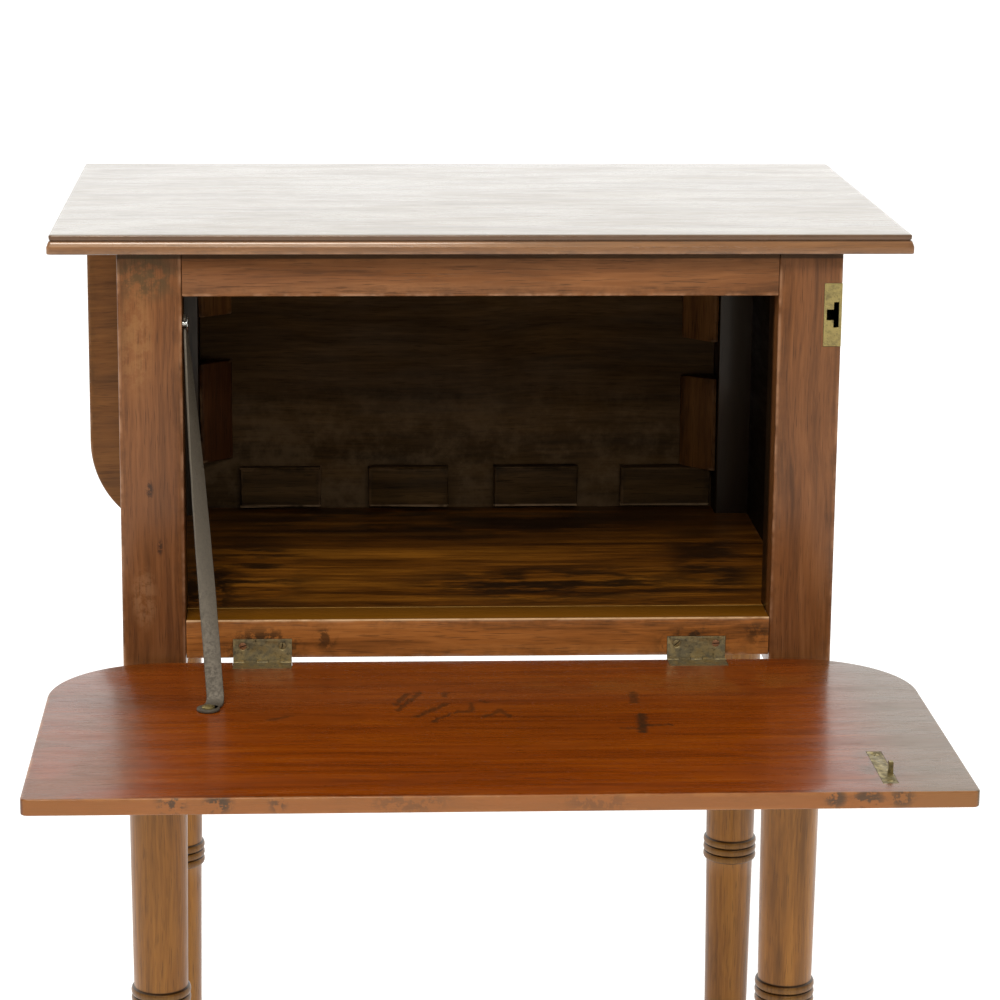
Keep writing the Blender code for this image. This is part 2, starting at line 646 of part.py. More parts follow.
corner_sizes = zip((-1, 1), ("left", "right"), CORNER_BLOCK_WIDTHS, LOWER_CORNER_LIFTS,
                   LOWER_CORNER_LENGTHS, UPPER_CORNER_LENGTHS)
for side, side_name, width, lift, lower_length, upper_length in corner_sizes:
    lower = (FLOOR_TOP + lift, FLOOR_TOP + lift + lower_length)
    upper = (UNDERSIDE - FIT - upper_length, UNDERSIDE - 2 * FIT)
    for (low_z, high_z), level in ((lower, "lower"), (upper, "upper")):
        low, high = mirrored_x((LEG_INNER - FIT - width, BACK_FACE - FIT - CORNER_BLOCK_DEPTH, low_z),
                               (LEG_INNER - FIT, BACK_FACE - FIT, high_z), side)
        name = f"corner_block_{level}_{side_name}"
        block = box(name, low, high, wood(name))
        cut(block, sloping_face(name + "_slope", low, high, side))

width, depth, height = TOP_BLOCK_SIZE
for side, side_name in ((-1, "left"), (1, "right")):
    for low_y, depth_name in ((TOP_RAIL_DEPTH + FIT, "front"), (BACK_FACE - FIT - depth, "rear")):
        name = f"top_glue_block_{depth_name}_{side_name}"
        centre_x = side * TOP_BLOCK_OFFSET
        box(name, (centre_x - width / 2, low_y, UNDERSIDE - FIT - height),
            (centre_x + width / 2, low_y + depth, UNDERSIDE - FIT), wood(name), edge=1.0 * MM)


# ---- moulded top ---------------------------------------------------------------------
def moulded_top(name, profile, material):
    """A board whose front and side edges follow (inset, height) steps; its rear is square."""
    half = TOP_WIDTH / 2
    mesh = bpy.data.meshes.new(name)
    shape = bmesh.new()
    bmesh.ops.create_grid(shape, x_segments=1, y_segments=1, size=0.5)
    shape.faces.ensure_lookup_table()
    level = shape.faces[0]

    def fit_ring(face, inset, height):
        for corner in face.verts:
            corner.co.x = math.copysign(half - inset, corner.co.x)
            corner.co.y = TOP_REAR if corner.co.y > 0 else -FRONT_OVERHANG + inset
            corner.co.z = UNDERSIDE + height

    for corner in level.verts:
        corner.co.y = math.copysign(1.0, corner.co.y)
    fit_ring(level, *profile[0])
    for inset, height in profile[1:]:
        raised = bmesh.ops.extrude_face_region(shape, geom=[level])
        old_level = level
        level = [item for item in raised["geom"] if isinstance(item, bmesh.types.BMFace)][0]
        if height > profile[1][1]:
            bmesh.ops.delete(shape, geom=[old_level], context="FACES_ONLY")
        fit_ring(level, inset, height)
    bmesh.ops.recalc_face_normals(shape, faces=shape.faces)
    shape.to_mesh(mesh)
    shape.free()
    return place(name, mesh, material)


TOP_PROFILE = (
    (0.6 * MM, 0.0),
    (0.0, 1.0 * MM),
    (0.0, 3.5 * MM),
    (0.25 * MM, 5.6 * MM),
    (0.85 * MM, 7.5 * MM),
    (1.9 * MM, 9.4 * MM),
    (2.9 * MM, 9.8 * MM),
    (2.4 * MM, 10.3 * MM),
    (2.0 * MM, 13.4 * MM),
    (3.0 * MM, TOP_THICKNESS),
)
table_top = moulded_top("table_top", TOP_PROFILE, wood("table_top", (0.24, 0.10, 0.045), 0.25))


# ---- fall front ----------------------------------------------------------------------
flap_outline = leaf_outline(FLAP_WIDTH, FLAP_DEPTH, CORNER_RADIUS, FREE_CORNER_RADIUS)
flap = board_from_outline("flap", flap_outline, FLAP_THICKNESS, wood("flap", (0.22, 0.065, 0.022), 0.18))
flap.location = (0, -FLAP_GAP, FLAP_TOP)
flap_group = [flap]

for centre_x, side_name in zip(FLAP_HINGE_X, ("left", "right")):
    axis = FLAP_AXIS + Vector((centre_x, 0, 0))
    rail_side = (f"flap_hinge_{side_name}_rail_plate", (0, 0, 1), (0, -1, 0), FLAP_AXIS_Y,
                 HINGE_REACH, PLATE_THICKNESS, HINGE_WIDTH)
    flap_side = (f"flap_hinge_{side_name}_flap_plate", (0, -1, 0), (0, 0, 1), FLAP_AXIS_DROP,
                 HINGE_REACH, PLATE_THICKNESS, HINGE_WIDTH)
    rail_plate, flap_plate, pin = hinge(f"flap_hinge_{side_name}", axis, rail_side, flap_side, "brass")
    flap_group.append(flap_plate)
    half = HINGE_WIDTH / 2 + FIT
    cut(bottom_rail, box(f"{rail_plate.name}_gain", (centre_x - half, -FIT, RAIL_BOTTOM - FIT),
                         (centre_x + half, PLATE_THICKNESS + FIT, axis.z + HINGE_REACH + FIT), cutter=True))
    gain_low = (centre_x - half, axis.y - HINGE_REACH - FIT, FLAP_TOP - PLATE_THICKNESS - FIT)
    notch_low = (centre_x - half, axis.y - KNUCKLE_RADIUS - 2 * FIT, FLAP_TOP - 2 * FLAP_THICKNESS)
    recess_high = (centre_x + half, 0, FLAP_TOP + FIT)
    cut(flap, box(f"{flap_plate.name}_gain", gain_low, recess_high, cutter=True))
    cut(flap, box(f"{flap_plate.name}_notch", notch_low, recess_high, cutter=True))
    for offset, number in ((-1, 1), (1, 2)):
        screw_x = centre_x + offset * (HINGE_WIDTH / 2 - RAIL_SCREW_END)
        wood_screw(f"rail_screw_{side_name}_{number}", (screw_x, 0, axis.z + HINGE_REACH - RAIL_SCREW_EDGE),
                   (0, -1, 0), rail_plate, bottom_rail)


# ---- lock in the front right leg, and its catch on the flap --------------------------
lock_low = LOCK_CENTRE_Z - LOCK_HEIGHT / 2
lock_high = LOCK_CENTRE_Z + LOCK_HEIGHT / 2
lock_plate = box("lock_plate", (HALF_BOX - LOCK_WIDTH, 0, lock_low), (HALF_BOX, LOCK_PLATE, lock_high),
                 brass("lock_plate"))
join(lock_plate, box("lock_side_plate", (HALF_BOX - LOCK_PLATE, 0, lock_low),
                     (HALF_BOX, LOCK_DEPTH, lock_high), cutter=True))
slot_low = Vector((SLOT_X - SLOT_WIDTH / 2, -FIT, LOCK_CENTRE_Z - SLOT_HEIGHT / 2))
slot_high = Vector((SLOT_X + SLOT_WIDTH / 2 - FIT, 2 * LOCK_PLATE, LOCK_CENTRE_Z + SLOT_HEIGHT / 2))
cut(lock_plate, box("lock_slot", slot_low, slot_high, cutter=True))
notch_low = (slot_low.x - NOTCH_WIDTH, -FIT, LOCK_CENTRE_Z - NOTCH_HEIGHT / 2)
notch_high = (SLOT_X, 2 * LOCK_PLATE, LOCK_CENTRE_Z + NOTCH_HEIGHT / 2)
cut(lock_plate, box("lock_slot_notch", notch_low, notch_high, cutter=True))
keyhole = Vector((HALF_BOX, LOCK_DEPTH * 0.55, LOCK_CENTRE_Z))
cut(lock_plate, rod("keyhole_eye", keyhole, ALONG_X, KEYHOLE_RADIUS, 4 * LOCK_PLATE, sides=16, cutter=True))
ward_low = keyhole - Vector((2 * LOCK_PLATE, KEYHOLE_RADIUS * 0.45, 3.2 * KEYHOLE_RADIUS))
ward_high = keyhole + Vector((2 * LOCK_PLATE, KEYHOLE_RADIUS * 0.45, 0))
cut(lock_plate, box("keyhole_ward", ward_low, ward_high, cutter=True))
cut(legs[1, False], box("lock_mortise", (HALF_BOX - LOCK_WIDTH - FIT, -FIT, lock_low - FIT),
                        (HALF_BOX + FIT, LOCK_DEPTH + FIT, lock_high + FIT), cutter=True))

CASE_LOW = Vector((HALF_BOX - LOCK_WIDTH, LOCK_PLATE + FIT, lock_low + 3 * MM))
CASE_HIGH = Vector((HALF_BOX - LOCK_PLATE - FIT, LOCK_DEPTH - FIT, lock_high - 3 * MM))
lock_case = box("lock_case", CASE_LOW, CASE_HIGH, iron("lock_case"))
hollow_low = CASE_LOW + Vector((CASE_WALL, -CASE_WALL, CASE_WALL))
hollow_high = CASE_HIGH + Vector((CASE_WALL, -CASE_WALL, -CASE_WALL))
cut(lock_case, box("lock_case_hollow", hollow_low, hollow_high, cutter=True))

bolt_width, bolt_length, bolt_height = BOLT_SIZE
bolt_low = Vector((SLOT_X - bolt_width / 2, LOCK_PLATE + HORN_BITE / 2 + FIT,
                   LOCK_CENTRE_Z - bolt_height / 2))
bolt_drop = BOLT_TRAVEL + FIT
bolt_high = bolt_low + Vector(BOLT_SIZE) - Vector((0, 0, bolt_drop))
lock_bolt = box("lock_bolt", bolt_low, bolt_high, iron("lock_bolt"))
join(lock_bolt, box("lock_bolt_lug", bolt_low + Vector((0, 0, bolt_drop)),
                    bolt_low + Vector((bolt_width, BOLT_LUG, bolt_height)), cutter=True))

horn_distance = LOCK_CENTRE_Z - FLAP_AXIS.z
catch_y = FLAP_AXIS.y - horn_distance
plate_width, plate_length, plate_thickness = CATCH_PLATE_SIZE
catch_x = SLOT_X - CATCH_OFFSET
catch_middle = Vector((catch_x, catch_y + CATCH_SHIFT, FLAP_TOP - plate_thickness / 2))
catch_half = Vector(CATCH_PLATE_SIZE) / 2
catch_low = catch_middle - catch_half
catch_high = catch_middle + catch_half
around = Vector((FIT, FIT, FIT))
catch_plate = box("catch_plate", catch_low, catch_high, brass("catch_plate"))
cut(flap, box("catch_gain", catch_low - around, catch_high + around, cutter=True))
horn_start = bolt_height / 2 + HORN_START
horn_x = SLOT_X - FIT
horn_tip = FLAP_TOP + HORN_REACH
horn_low = Vector((horn_x - HORN_WIDTH / 2, catch_y - horn_start - HORN_HEIGHT, catch_middle.z))
horn_high = Vector((horn_x + HORN_WIDTH / 2, catch_y - horn_start, horn_tip))
join(catch_plate, box("catch_horn", horn_low, horn_high, cutter=True))
bite_low = (horn_low.x - FIT, horn_high.y - HORN_BITE, horn_tip - BITE_STRETCH[1])
bite_high = (horn_high.x + FIT, horn_high.y + FIT, horn_tip - BITE_STRETCH[0])
cut(catch_plate, box("catch_bite", bite_low, bite_high, cutter=True))
flap_group.append(catch_plate)
for number, screw_y in ((1, catch_low.y + CATCH_SCREW_END), (2, catch_high.y - CATCH_SCREW_END)):
    head_point = (catch_x, screw_y, FLAP_TOP)
    flap_group.append(wood_screw(f"catch_screw_{number}", head_point, (0, 0, 1), catch_plate, flap))


# ---- flap stay: twisted iron strap, foot screw and peg -------------------------------
STAY_RISE = FLAP_TOP + FIT
stay_top = PEG + Vector((3 * FIT + STAY_THICKNESS / 2, 0, 0))
stay_bend = Vector((STAY_FOOT.x, STAY_FOOT.y + STAY_BEND_BACK, STAY_RISE + STAY_THICKNESS / 2))
stay_line = (stay_top - stay_bend).normalized()
overrun = STAY_WIDTH * 0.55
flat_to_leg = ALONG_X - stay_line * stay_line.x
squaring = -stay_line.cross(ALONG_Z).angle(flat_to_leg)     # turns the top end flat to the leg


def twisted_strap(name, start, end, width, thickness, turn, steps, material):
    """A flat strap swept from start to end while its section turns."""
    section = bpy.data.curves.new(name + "_section", "CURVE")
    section.dimensions = "2D"
    outline = section.splines.new("POLY")
    outline.points.add(3)
    for point, (x, y) in zip(outline.points, ((-1, -1), (1, -1), (1, 1), (-1, 1))):
        point.co = (x * thickness / 2, y * width / 2, 0, 1)
    outline.use_cyclic_u = True
    section_object = bpy.data.objects.new(name + "_section", section)
    cutters.objects.link(section_object)
    path = bpy.data.curves.new(name, "CURVE")
    path.dimensions = "3D"
    path.twist_mode = "Z_UP"
    path.bevel_mode = "OBJECT"
    path.bevel_object = section_object
    path.use_fill_caps = True
    line = path.splines.new("POLY")
    line.points.add(steps)
    for number, point in enumerate(line.points):
        share = number / steps
        point.co = (*start.lerp(end, share), 1)
        point.tilt = turn[0] + (turn[1] - turn[0]) * share
    swept = bpy.data.objects.new(name, path)
    parts.objects.link(swept)
    made = to_mesh_object(swept, material)
    bpy.data.objects.remove(section_object, do_unlink=True)
    return made


stay = twisted_strap("flap_stay", stay_bend, stay_top + stay_line * overrun, STAY_WIDTH, STAY_THICKNESS,
                     (squaring + math.radians(90), squaring), 14, iron("flap_stay"))
foot_disc = rod("stay_foot_disc", (STAY_FOOT.x, STAY_FOOT.y, STAY_RISE + STAY_THICKNESS / 2), ALONG_Z,
                STAY_FOOT_RADIUS, STAY_THICKNESS, sides=28, cutter=True)
foot_strap = box("stay_foot_strap", (STAY_FOOT.x - STAY_WIDTH / 2, STAY_FOOT.y, STAY_RISE),
                 (STAY_FOOT.x + STAY_WIDTH / 2, stay_bend.y + STAY_THICKNESS * 0.6,
                  STAY_RISE + STAY_THICKNESS), cutter=True)
join(stay, foot_disc, foot_strap)
under_low = (STAY_FOOT.x - STAY_WIDTH, STAY_FOOT.y - STAY_WIDTH, FLAP_TOP - STAY_WIDTH)
under_high = (STAY_FOOT.x + STAY_WIDTH, stay_bend.y + STAY_WIDTH, STAY_RISE)
cut(stay, box("stay_under_foot", under_low, under_high, cutter=True))
cut(stay, rod("stay_foot_hole", STAY_FOOT, ALONG_Z, FOOT_SCREW_RADIUS + FIT, 8 * STAY_THICKNESS,
              sides=20, cutter=True))
notch_half = PEG_RADIUS + PEG_NOTCH_CLEARANCE
cut(stay, rod("stay_notch_end", stay_top, ALONG_X, notch_half, 4 * STAY_WIDTH, sides=20, cutter=True))
cut(stay, box("stay_notch", stay_top - Vector((STAY_WIDTH, 2 * STAY_WIDTH, notch_half)),
              stay_top + Vector((STAY_WIDTH, 0, notch_half)), cutter=True))
set_origin(stay, STAY_FOOT)

stay_peg = rod("stay_peg", PEG + ALONG_X * (PEG_LENGTH - PEG_SEAT) / 2, ALONG_X, PEG_RADIUS,
               PEG_LENGTH + PEG_SEAT, iron("stay_peg"), sides=20)
dome = stay_peg.modifiers.new("domed end", "BEVEL")
dome.width = 1.2 * MM
dome.segments = 3
cut(legs[-1, False], rod("stay_peg_hole", PEG - ALONG_X * PEG_SEAT / 2, ALONG_X, PEG_RADIUS + FIT,
                         PEG_SEAT + 2 * FIT, sides=20, cutter=True))

foot_head_low = STAY_RISE + STAY_THICKNESS + FIT
foot_head_middle = Vector((STAY_FOOT.x, STAY_FOOT.y, foot_head_low + FOOT_HEAD_HEIGHT / 2))
stay_foot_screw = rod("stay_foot_screw", foot_head_middle, ALONG_Z, FOOT_HEAD_RADII[0], FOOT_HEAD_HEIGHT,
                      brass("stay_foot_screw"), end_radius=FOOT_HEAD_RADII[1], sides=16)
shank_middle = Vector((STAY_FOOT.x, STAY_FOOT.y, foot_head_low + SCREW_SLOT - FOOT_SCREW_DEPTH / 2))
join(stay_foot_screw, rod("stay_foot_shank", shank_middle, ALONG_Z, FOOT_SCREW_RADIUS, FOOT_SCREW_DEPTH,
                          sides=20, cutter=True))
slot_half = Vector((FOOT_HEAD_RADII[0] + FIT, SCREW_SLOT / 2, FOOT_HEAD_SLOT))
slot_middle = foot_head_middle + ALONG_Z * FOOT_HEAD_HEIGHT / 2
cut(stay_foot_screw, box("stay_foot_slot", slot_middle - slot_half, slot_middle + slot_half, cutter=True))
pilot_middle = Vector((STAY_FOOT.x, STAY_FOOT.y, FLAP_TOP + SCREW_SLOT - FOOT_SCREW_DEPTH / 2))
cut(flap, rod("stay_foot_pilot", pilot_middle, ALONG_Z, FOOT_SCREW_RADIUS + FIT, FOOT_SCREW_DEPTH,
              sides=20, cutter=True))
flap_group.append(stay_foot_screw)


# ---- rear leaf and its hinges --------------------------------------------------------
rear_outline = leaf_outline(LEAF_WIDTH, LEAF_LENGTH, CORNER_RADIUS, FREE_CORNER_RADIUS)
rear_leaf = board_from_outline("rear_leaf", rear_outline, LEAF_THICKNESS,
                               wood("rear_leaf", (0.15, 0.055, 0.025), 0.4))
hang = Matrix(((1, 0, 0), (0, 0, -1), (0, -1, 0))).to_4x4()
rear_leaf.data.transform(Matrix.Translation((0, LEAF_LENGTH, 0)))
rear_leaf.data.transform(hang)
rear_leaf.data.flip_normals()
rear_leaf.location = (0, LEAF_FACE, LEAF_TOP)
leaf_group = [rear_leaf]
groove_radius = KNUCKLE_RADIUS + 2 * FIT

for centre_x, side_name in zip(LEAF_HINGE_X, ("left", "right")):
    axis = LEAF_AXIS + Vector((centre_x, 0, 0))
    top_side = (f"leaf_hinge_{side_name}_top_plate", (0, -1, 0), (0, 0, -1), -LEAF_AXIS_DROP,
                LEAF_HINGE_REACH, PLATE_THICKNESS, HINGE_WIDTH)
    leaf_side = (f"leaf_hinge_{side_name}_leaf_plate", (0, 0, -1), (0, -1, 0), -LEAF_AXIS_DROP,
                 LEAF_HINGE_REACH, PLATE_THICKNESS, HINGE_WIDTH)
    top_plate, leaf_plate, pin = hinge(f"leaf_hinge_{side_name}", axis, top_side, leaf_side, "iron")
    leaf_group.append(leaf_plate)
    half = HINGE_WIDTH / 2 + FIT
    groove = rod(f"leaf_hinge_{side_name}_groove", axis, ALONG_X, groove_radius, 2 * half,
                 sides=16, cutter=True)
    cut(table_top, groove)
    cut(rear_leaf, groove)
    reach = LEAF_HINGE_REACH + FIT
    cut(table_top, box(f"{top_plate.name}_gain", (centre_x - half, axis.y - reach, UNDERSIDE - FIT),
                       (centre_x + half, axis.y, UNDERSIDE + PLATE_THICKNESS + FIT), cutter=True))
    cut(rear_leaf, box(f"{leaf_plate.name}_gain", (centre_x - half, LEAF_FACE - FIT, axis.z - reach),
                       (centre_x + half, LEAF_FACE + PLATE_THICKNESS + FIT, axis.z), cutter=True))


# ---- leaf prop: iron strap that swings up under the raised leaf ----------------------
plate_lift = -(PROP_STAND_OFF - FIT - PLATE_THICKNESS)
panel_side = ("prop_bracket", (0, 0, 1), (0, 1, 0), plate_lift, HINGE_REACH, PLATE_THICKNESS,
              HINGE_WIDTH)
prop_side = ("leaf_prop", (0, 0, -1), (0, 1, 0), PROP_THICKNESS / 2, PROP_LENGTH, PROP_THICKNESS,
             PROP_WIDTH)
bracket, prop, prop_pin = hinge("leaf_prop", PROP_AXIS, panel_side, prop_side, "iron")


# ---- bodies: pieces that move hang from an empty on their axis -----------------------
frame = bpy.data.objects.new("table_frame", None)
parts.objects.link(frame)
frame.location = (0, -FRAME_CENTRE_Y, 0)


def pivot(name, point, members):
    axle = bpy.data.objects.new(name, None)
    parts.objects.link(axle)
    axle.location = point
    axle.parent = frame
    for member in members:
        member.location = member.location - Vector(point)
        member.parent = axle


pivot("flap_axis", FLAP_AXIS, flap_group)
pivot("leaf_axis", LEAF_AXIS, leaf_group)
pivot("prop_axis", PROP_AXIS, [prop])
for made in list(parts.objects) + list(cutters.objects):
    if made.parent is None and made is not frame:
        made.parent = frame
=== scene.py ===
# %% [markdown]
# # Sewing table
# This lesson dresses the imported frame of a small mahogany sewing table: a box with a fall
# front on an iron stay, a rear leaf that hangs, a lock, and four turned legs. The frame
# gives every place and size. Here each piece gets its finish, and the pieces that need
# finer shapes than the frame has are made again in the same place.

import json
import math
import random

import bmesh
import bpy
from mathutils import Matrix, Vector
from mathutils import noise as field


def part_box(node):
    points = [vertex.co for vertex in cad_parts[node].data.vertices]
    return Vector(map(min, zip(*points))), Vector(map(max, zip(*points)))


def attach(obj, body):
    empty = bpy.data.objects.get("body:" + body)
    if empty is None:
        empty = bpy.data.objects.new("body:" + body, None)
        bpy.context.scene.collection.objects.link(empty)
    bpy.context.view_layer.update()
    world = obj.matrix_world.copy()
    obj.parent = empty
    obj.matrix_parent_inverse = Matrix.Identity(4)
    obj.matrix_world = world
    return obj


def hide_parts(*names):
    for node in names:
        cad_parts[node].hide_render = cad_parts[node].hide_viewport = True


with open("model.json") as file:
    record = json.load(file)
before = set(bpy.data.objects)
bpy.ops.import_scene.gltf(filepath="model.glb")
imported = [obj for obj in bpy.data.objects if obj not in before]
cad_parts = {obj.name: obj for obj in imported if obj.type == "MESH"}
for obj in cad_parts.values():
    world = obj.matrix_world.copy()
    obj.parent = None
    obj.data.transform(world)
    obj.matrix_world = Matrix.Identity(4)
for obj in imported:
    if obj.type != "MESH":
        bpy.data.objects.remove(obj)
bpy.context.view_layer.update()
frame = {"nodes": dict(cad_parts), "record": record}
NODES = frame["nodes"]
MM = 0.001


# %% [markdown]
# ## Writing a finish as a sum
# A finish is a network of nodes, but it reads best as arithmetic. This small class wraps
# one socket, so that `1 - mask` or `grain * 0.3` adds the Math node by itself. Any other
# node comes from `node`, which sets the node's settings first and then its sockets.

# %% A socket that can be used in sums
class Wire:
    """One output socket of a material, for use in expressions."""

    def __init__(self, tree, socket=None):
        self.tree = tree
        self.socket = socket

    def node(self, kind, settings=None, sockets=None, out=0):
        """Add a node: settings first, then values or links for its sockets."""
        made = self.tree.nodes.new(kind)
        for key, value in (settings or {}).items():
            if key == "stops":
                set_stops(made.color_ramp, value)
            else:
                setattr(made, key, value)
        for key, value in (sockets or {}).items():
            if isinstance(value, Wire):
                self.tree.links.new(value.socket, made.inputs[key])
            elif value is not None:
                made.inputs[key].default_value = value
        return Wire(self.tree, made.outputs[out])

    def sum_with(self, operation, first, second):
        return self.node("ShaderNodeMath", {"operation": operation}, {0: first, 1: second})

    def __add__(self, other):
        return self.sum_with("ADD", self, other)

    __radd__ = __add__

    def __sub__(self, other):
        return self.sum_with("SUBTRACT", self, other)

    def __rsub__(self, other):
        return self.sum_with("SUBTRACT", other, self)

    def __mul__(self, other):
        return self.sum_with("MULTIPLY", self, other)

    __rmul__ = __mul__

    def __truediv__(self, other):
        return self.sum_with("DIVIDE", self, other)

    def __pow__(self, other):
        return self.sum_with("POWER", self, other)

    def lower(self, other):
        return self.sum_with("MINIMUM", self, other)

    def higher(self, other):
        return self.sum_with("MAXIMUM", self, other)

    def size(self):
        return self.sum_with("ABSOLUTE", self, None)

    def wave(self):
        return self.sum_with("SINE", self, None)

    def fade(self, start, end, low=0.0, high=1.0):
        """Smoothly from low, where self is start, to high, where self is end."""
        return self.node("ShaderNodeMapRange", {"interpolation_type": "SMOOTHSTEP"},
                         {"Value": self, "From Min": start, "From Max": end, "To Min": low, "To Max": high})


def set_stops(ramp, stops):
    """Colour stops as (position, colour), in order."""
    while len(ramp.elements) < len(stops):
        ramp.elements.new(0.5)
    for element, (position, colour) in zip(ramp.elements, stops):
        element.position = position
        element.color = (*colour, 1.0)


def move(place, offset):
    return place.node("ShaderNodeVectorMath", {"operation": "ADD"}, {0: place, 1: offset})


def stretch(place, scale):
    return place.node("ShaderNodeVectorMath", {"operation": "MULTIPLY"}, {0: place, 1: scale})


def cloud(place, scale, detail=2.0, rough=0.5, bend=0.0):
    """Soft noise between 0 and 1."""
    return place.node("ShaderNodeTexNoise", {}, {"Vector": place, "Scale": scale, "Detail": detail,
                                                 "Roughness": rough, "Distortion": bend})


def blend_colour(amount, first, second, how="MIX"):
    """Mix two colours; each may be a colour or a wire."""
    first = (*first, 1.0) if isinstance(first, tuple) else first
    second = (*second, 1.0) if isinstance(second, tuple) else second
    return amount.node("ShaderNodeMix", {"data_type": "RGBA", "blend_type": how},
                       {0: amount, 6: first, 7: second}, out=2)


print("sums ready")


# %% [markdown]
# ## Finding the edges of a piece
# Hands, dusters and knocks wear a piece along its edges, and dirt gathers near them. Each
# board is nearly a box, so the distance to an edge can be worked out from the box itself:
# of the distances to the three pairs of faces, an edge is where two are small at once.

# %% Distances inside a box
def start_material(name):
    """A new material: (material, object coordinates, shader node)."""
    made = bpy.data.materials.new(name)
    made.use_nodes = True
    tree = made.node_tree
    shader = tree.nodes["Principled BSDF"]
    place = Wire(tree).node("ShaderNodeTexCoord", {}, {}, out="Object")
    return made, place, shader


def axes_of(place):
    """The X, Y and Z parts of a vector."""
    split = place.node("ShaderNodeSeparateXYZ", {}, {0: place})
    outputs = split.socket.node.outputs
    return [Wire(place.tree, outputs[number]) for number in range(3)]


def face_distances(place, limits):
    """Distance to the nearer of each pair of faces, in metres."""
    low, high = limits
    found = []
    for part, start, end in zip(axes_of(place), low, high):
        middle = (start + end) / 2
        half = (end - start) / 2
        found.append(half - (part - middle).size())
    return found


def edge_distance(distances):
    """How far the nearest edge is: the middle one of the three distances."""
    first, second, third = distances
    return first.lower(second).higher(first.higher(second).lower(third))


def connect(shader, name, value):
    """Link a wire to a shader socket, or set a constant on it."""
    if isinstance(value, Wire):
        value.tree.links.new(value.socket, shader.inputs[name])
    else:
        shader.inputs[name].default_value = value


print("edge tools ready")


# %% [markdown]
# ## Polished mahogany
# Mahogany has long fine pores, soft streaks of darker growth and a slow change of tone
# along a board. The fibres are made by squeezing the coordinates along the grain, so that
# round noise becomes long streaks. French polish adds a thin glossy coat; a century of use
# adds dirt near the edges, rubbed arrises and faint cloudy patches in the shine.

# %% The wood finish
def seed_of(name):
    """A steady offset for each name, so that no two boards share a figure."""
    source = random.Random(name)
    return tuple(source.uniform(-3.0, 3.0) for _ in range(3))


def local_spot(place, centre, reach, soften=0.35):
    """1 inside an ellipsoid round centre, fading to 0 at its border."""
    away = stretch(move(place, tuple(-c for c in centre)), tuple(1 / r for r in reach))
    far = away.node("ShaderNodeVectorMath", {"operation": "LENGTH"}, {0: away}, out="Value")
    return far.fade(1.0, soften)


POLISH_TINT = (1.0, 0.80, 0.58, 1.0)


def wood(name, limits, grain, dark, middle, light, rough=0.38, coat=0.0, coat_rough=0.12,
         pores=0.5, streaks=1.0, patina=0.3, edge_wear=0.35, edge_colour=(0.36, 0.19, 0.10),
         dirt=0.4, dirt_reach=0.012, spots=(), bump=1.0, broad=55.0, shine=0.3):
    """Mahogany: grain is the axis the fibres follow, spots are extra marks."""
    made, place, shader = start_material(name)
    squeeze = [1.0, 1.0, 1.0]
    squeeze[grain] = 0.045
    own = move(place, seed_of(name))
    sway = cloud(own, 5.0, 1.0)
    drift = [0.022, 0.022, 0.022]
    drift[grain] = 0.0
    swayed = own.node("ShaderNodeVectorMath", {"operation": "MULTIPLY_ADD"},
                      {0: sway, 1: tuple(drift), 2: own})
    fibre = stretch(swayed, tuple(squeeze))
    growth = cloud(fibre, broad, 4.0, 0.6)
    streak = cloud(fibre, 430.0, 3.0, 0.6)
    fine = stretch(own, tuple(s * (1.0 if s == 1.0 else 0.8) for s in squeeze))
    pore_noise = cloud(fine, 1500.0, 1.0, 0.5)
    pore = pore_noise.fade(0.60, 0.70)
    tone = (growth - 0.5) * 1.5 * streaks + (streak - 0.5) * 0.75 * streaks + 0.5
    colour = tone.node("ShaderNodeValToRGB", {"stops": ((0.12, dark), (0.5, middle), (0.88, light))},
                       {0: tone})
    clouds = cloud(own, 9.0, 3.0, 0.55)
    shade = (clouds - 0.5) * 2.0 * patina + 1.0
    colour = blend_colour(pore * pores, colour, tuple(c * 0.35 for c in dark))
    colour = colour.node("ShaderNodeVectorMath", {"operation": "SCALE"}, {0: colour, "Scale": shade})

    distances = face_distances(place, limits)
    edge = edge_distance(distances)
    patch = cloud(own, 38.0, 3.0, 0.65)
    worn = edge.fade(0.0030, 0.0004) * patch.fade(0.42, 0.62) * edge_wear
    grimy = edge.fade(dirt_reach, 0.001) * cloud(own, 70.0, 4.0, 0.7).fade(0.35, 0.75) * dirt
    colour = blend_colour(grimy, colour, tuple(c * 0.30 for c in dark))
    colour = blend_colour(worn, colour, edge_colour)

    lengthwise = [1.0, 1.0, 1.0]
    lengthwise[grain] = 0.22
    smear = cloud(stretch(own, tuple(lengthwise)), 42.0, 4.0, 0.7)
    roughness = smear.fade(0.3, 0.75, rough * 0.8, rough * 1.25) + pore * 0.12
    for spot in spots:
        mask = spot["mask"](place, own)
        colour = blend_colour(mask, colour, spot["colour"], spot.get("how", "MIX"))
        if "rough" in spot:
            roughness = roughness + mask * spot["rough"]
    height = (streak - 0.5) * 0.00006 - pore * 0.00010 + (cloud(own, 60.0, 2.0) - 0.5) * 0.00025
    normal = height.node("ShaderNodeBump", {}, {"Height": height, "Distance": 1.0, "Strength": 0.55 * bump})
    connect(shader, "Base Color", colour)
    connect(shader, "Roughness", roughness)
    connect(shader, "Normal", normal)
    connect(shader, "Coat Weight", coat)
    connect(shader, "Coat Roughness", coat_rough)
    connect(shader, "IOR", 1.5)
    connect(shader, "Specular IOR Level", shine)
    connect(shader, "Specular Tint", POLISH_TINT)
    return made


def dress(node, material):
    """Give a frame node its finish."""
    for holder in NODES[node].material_slots:
        holder.material = material


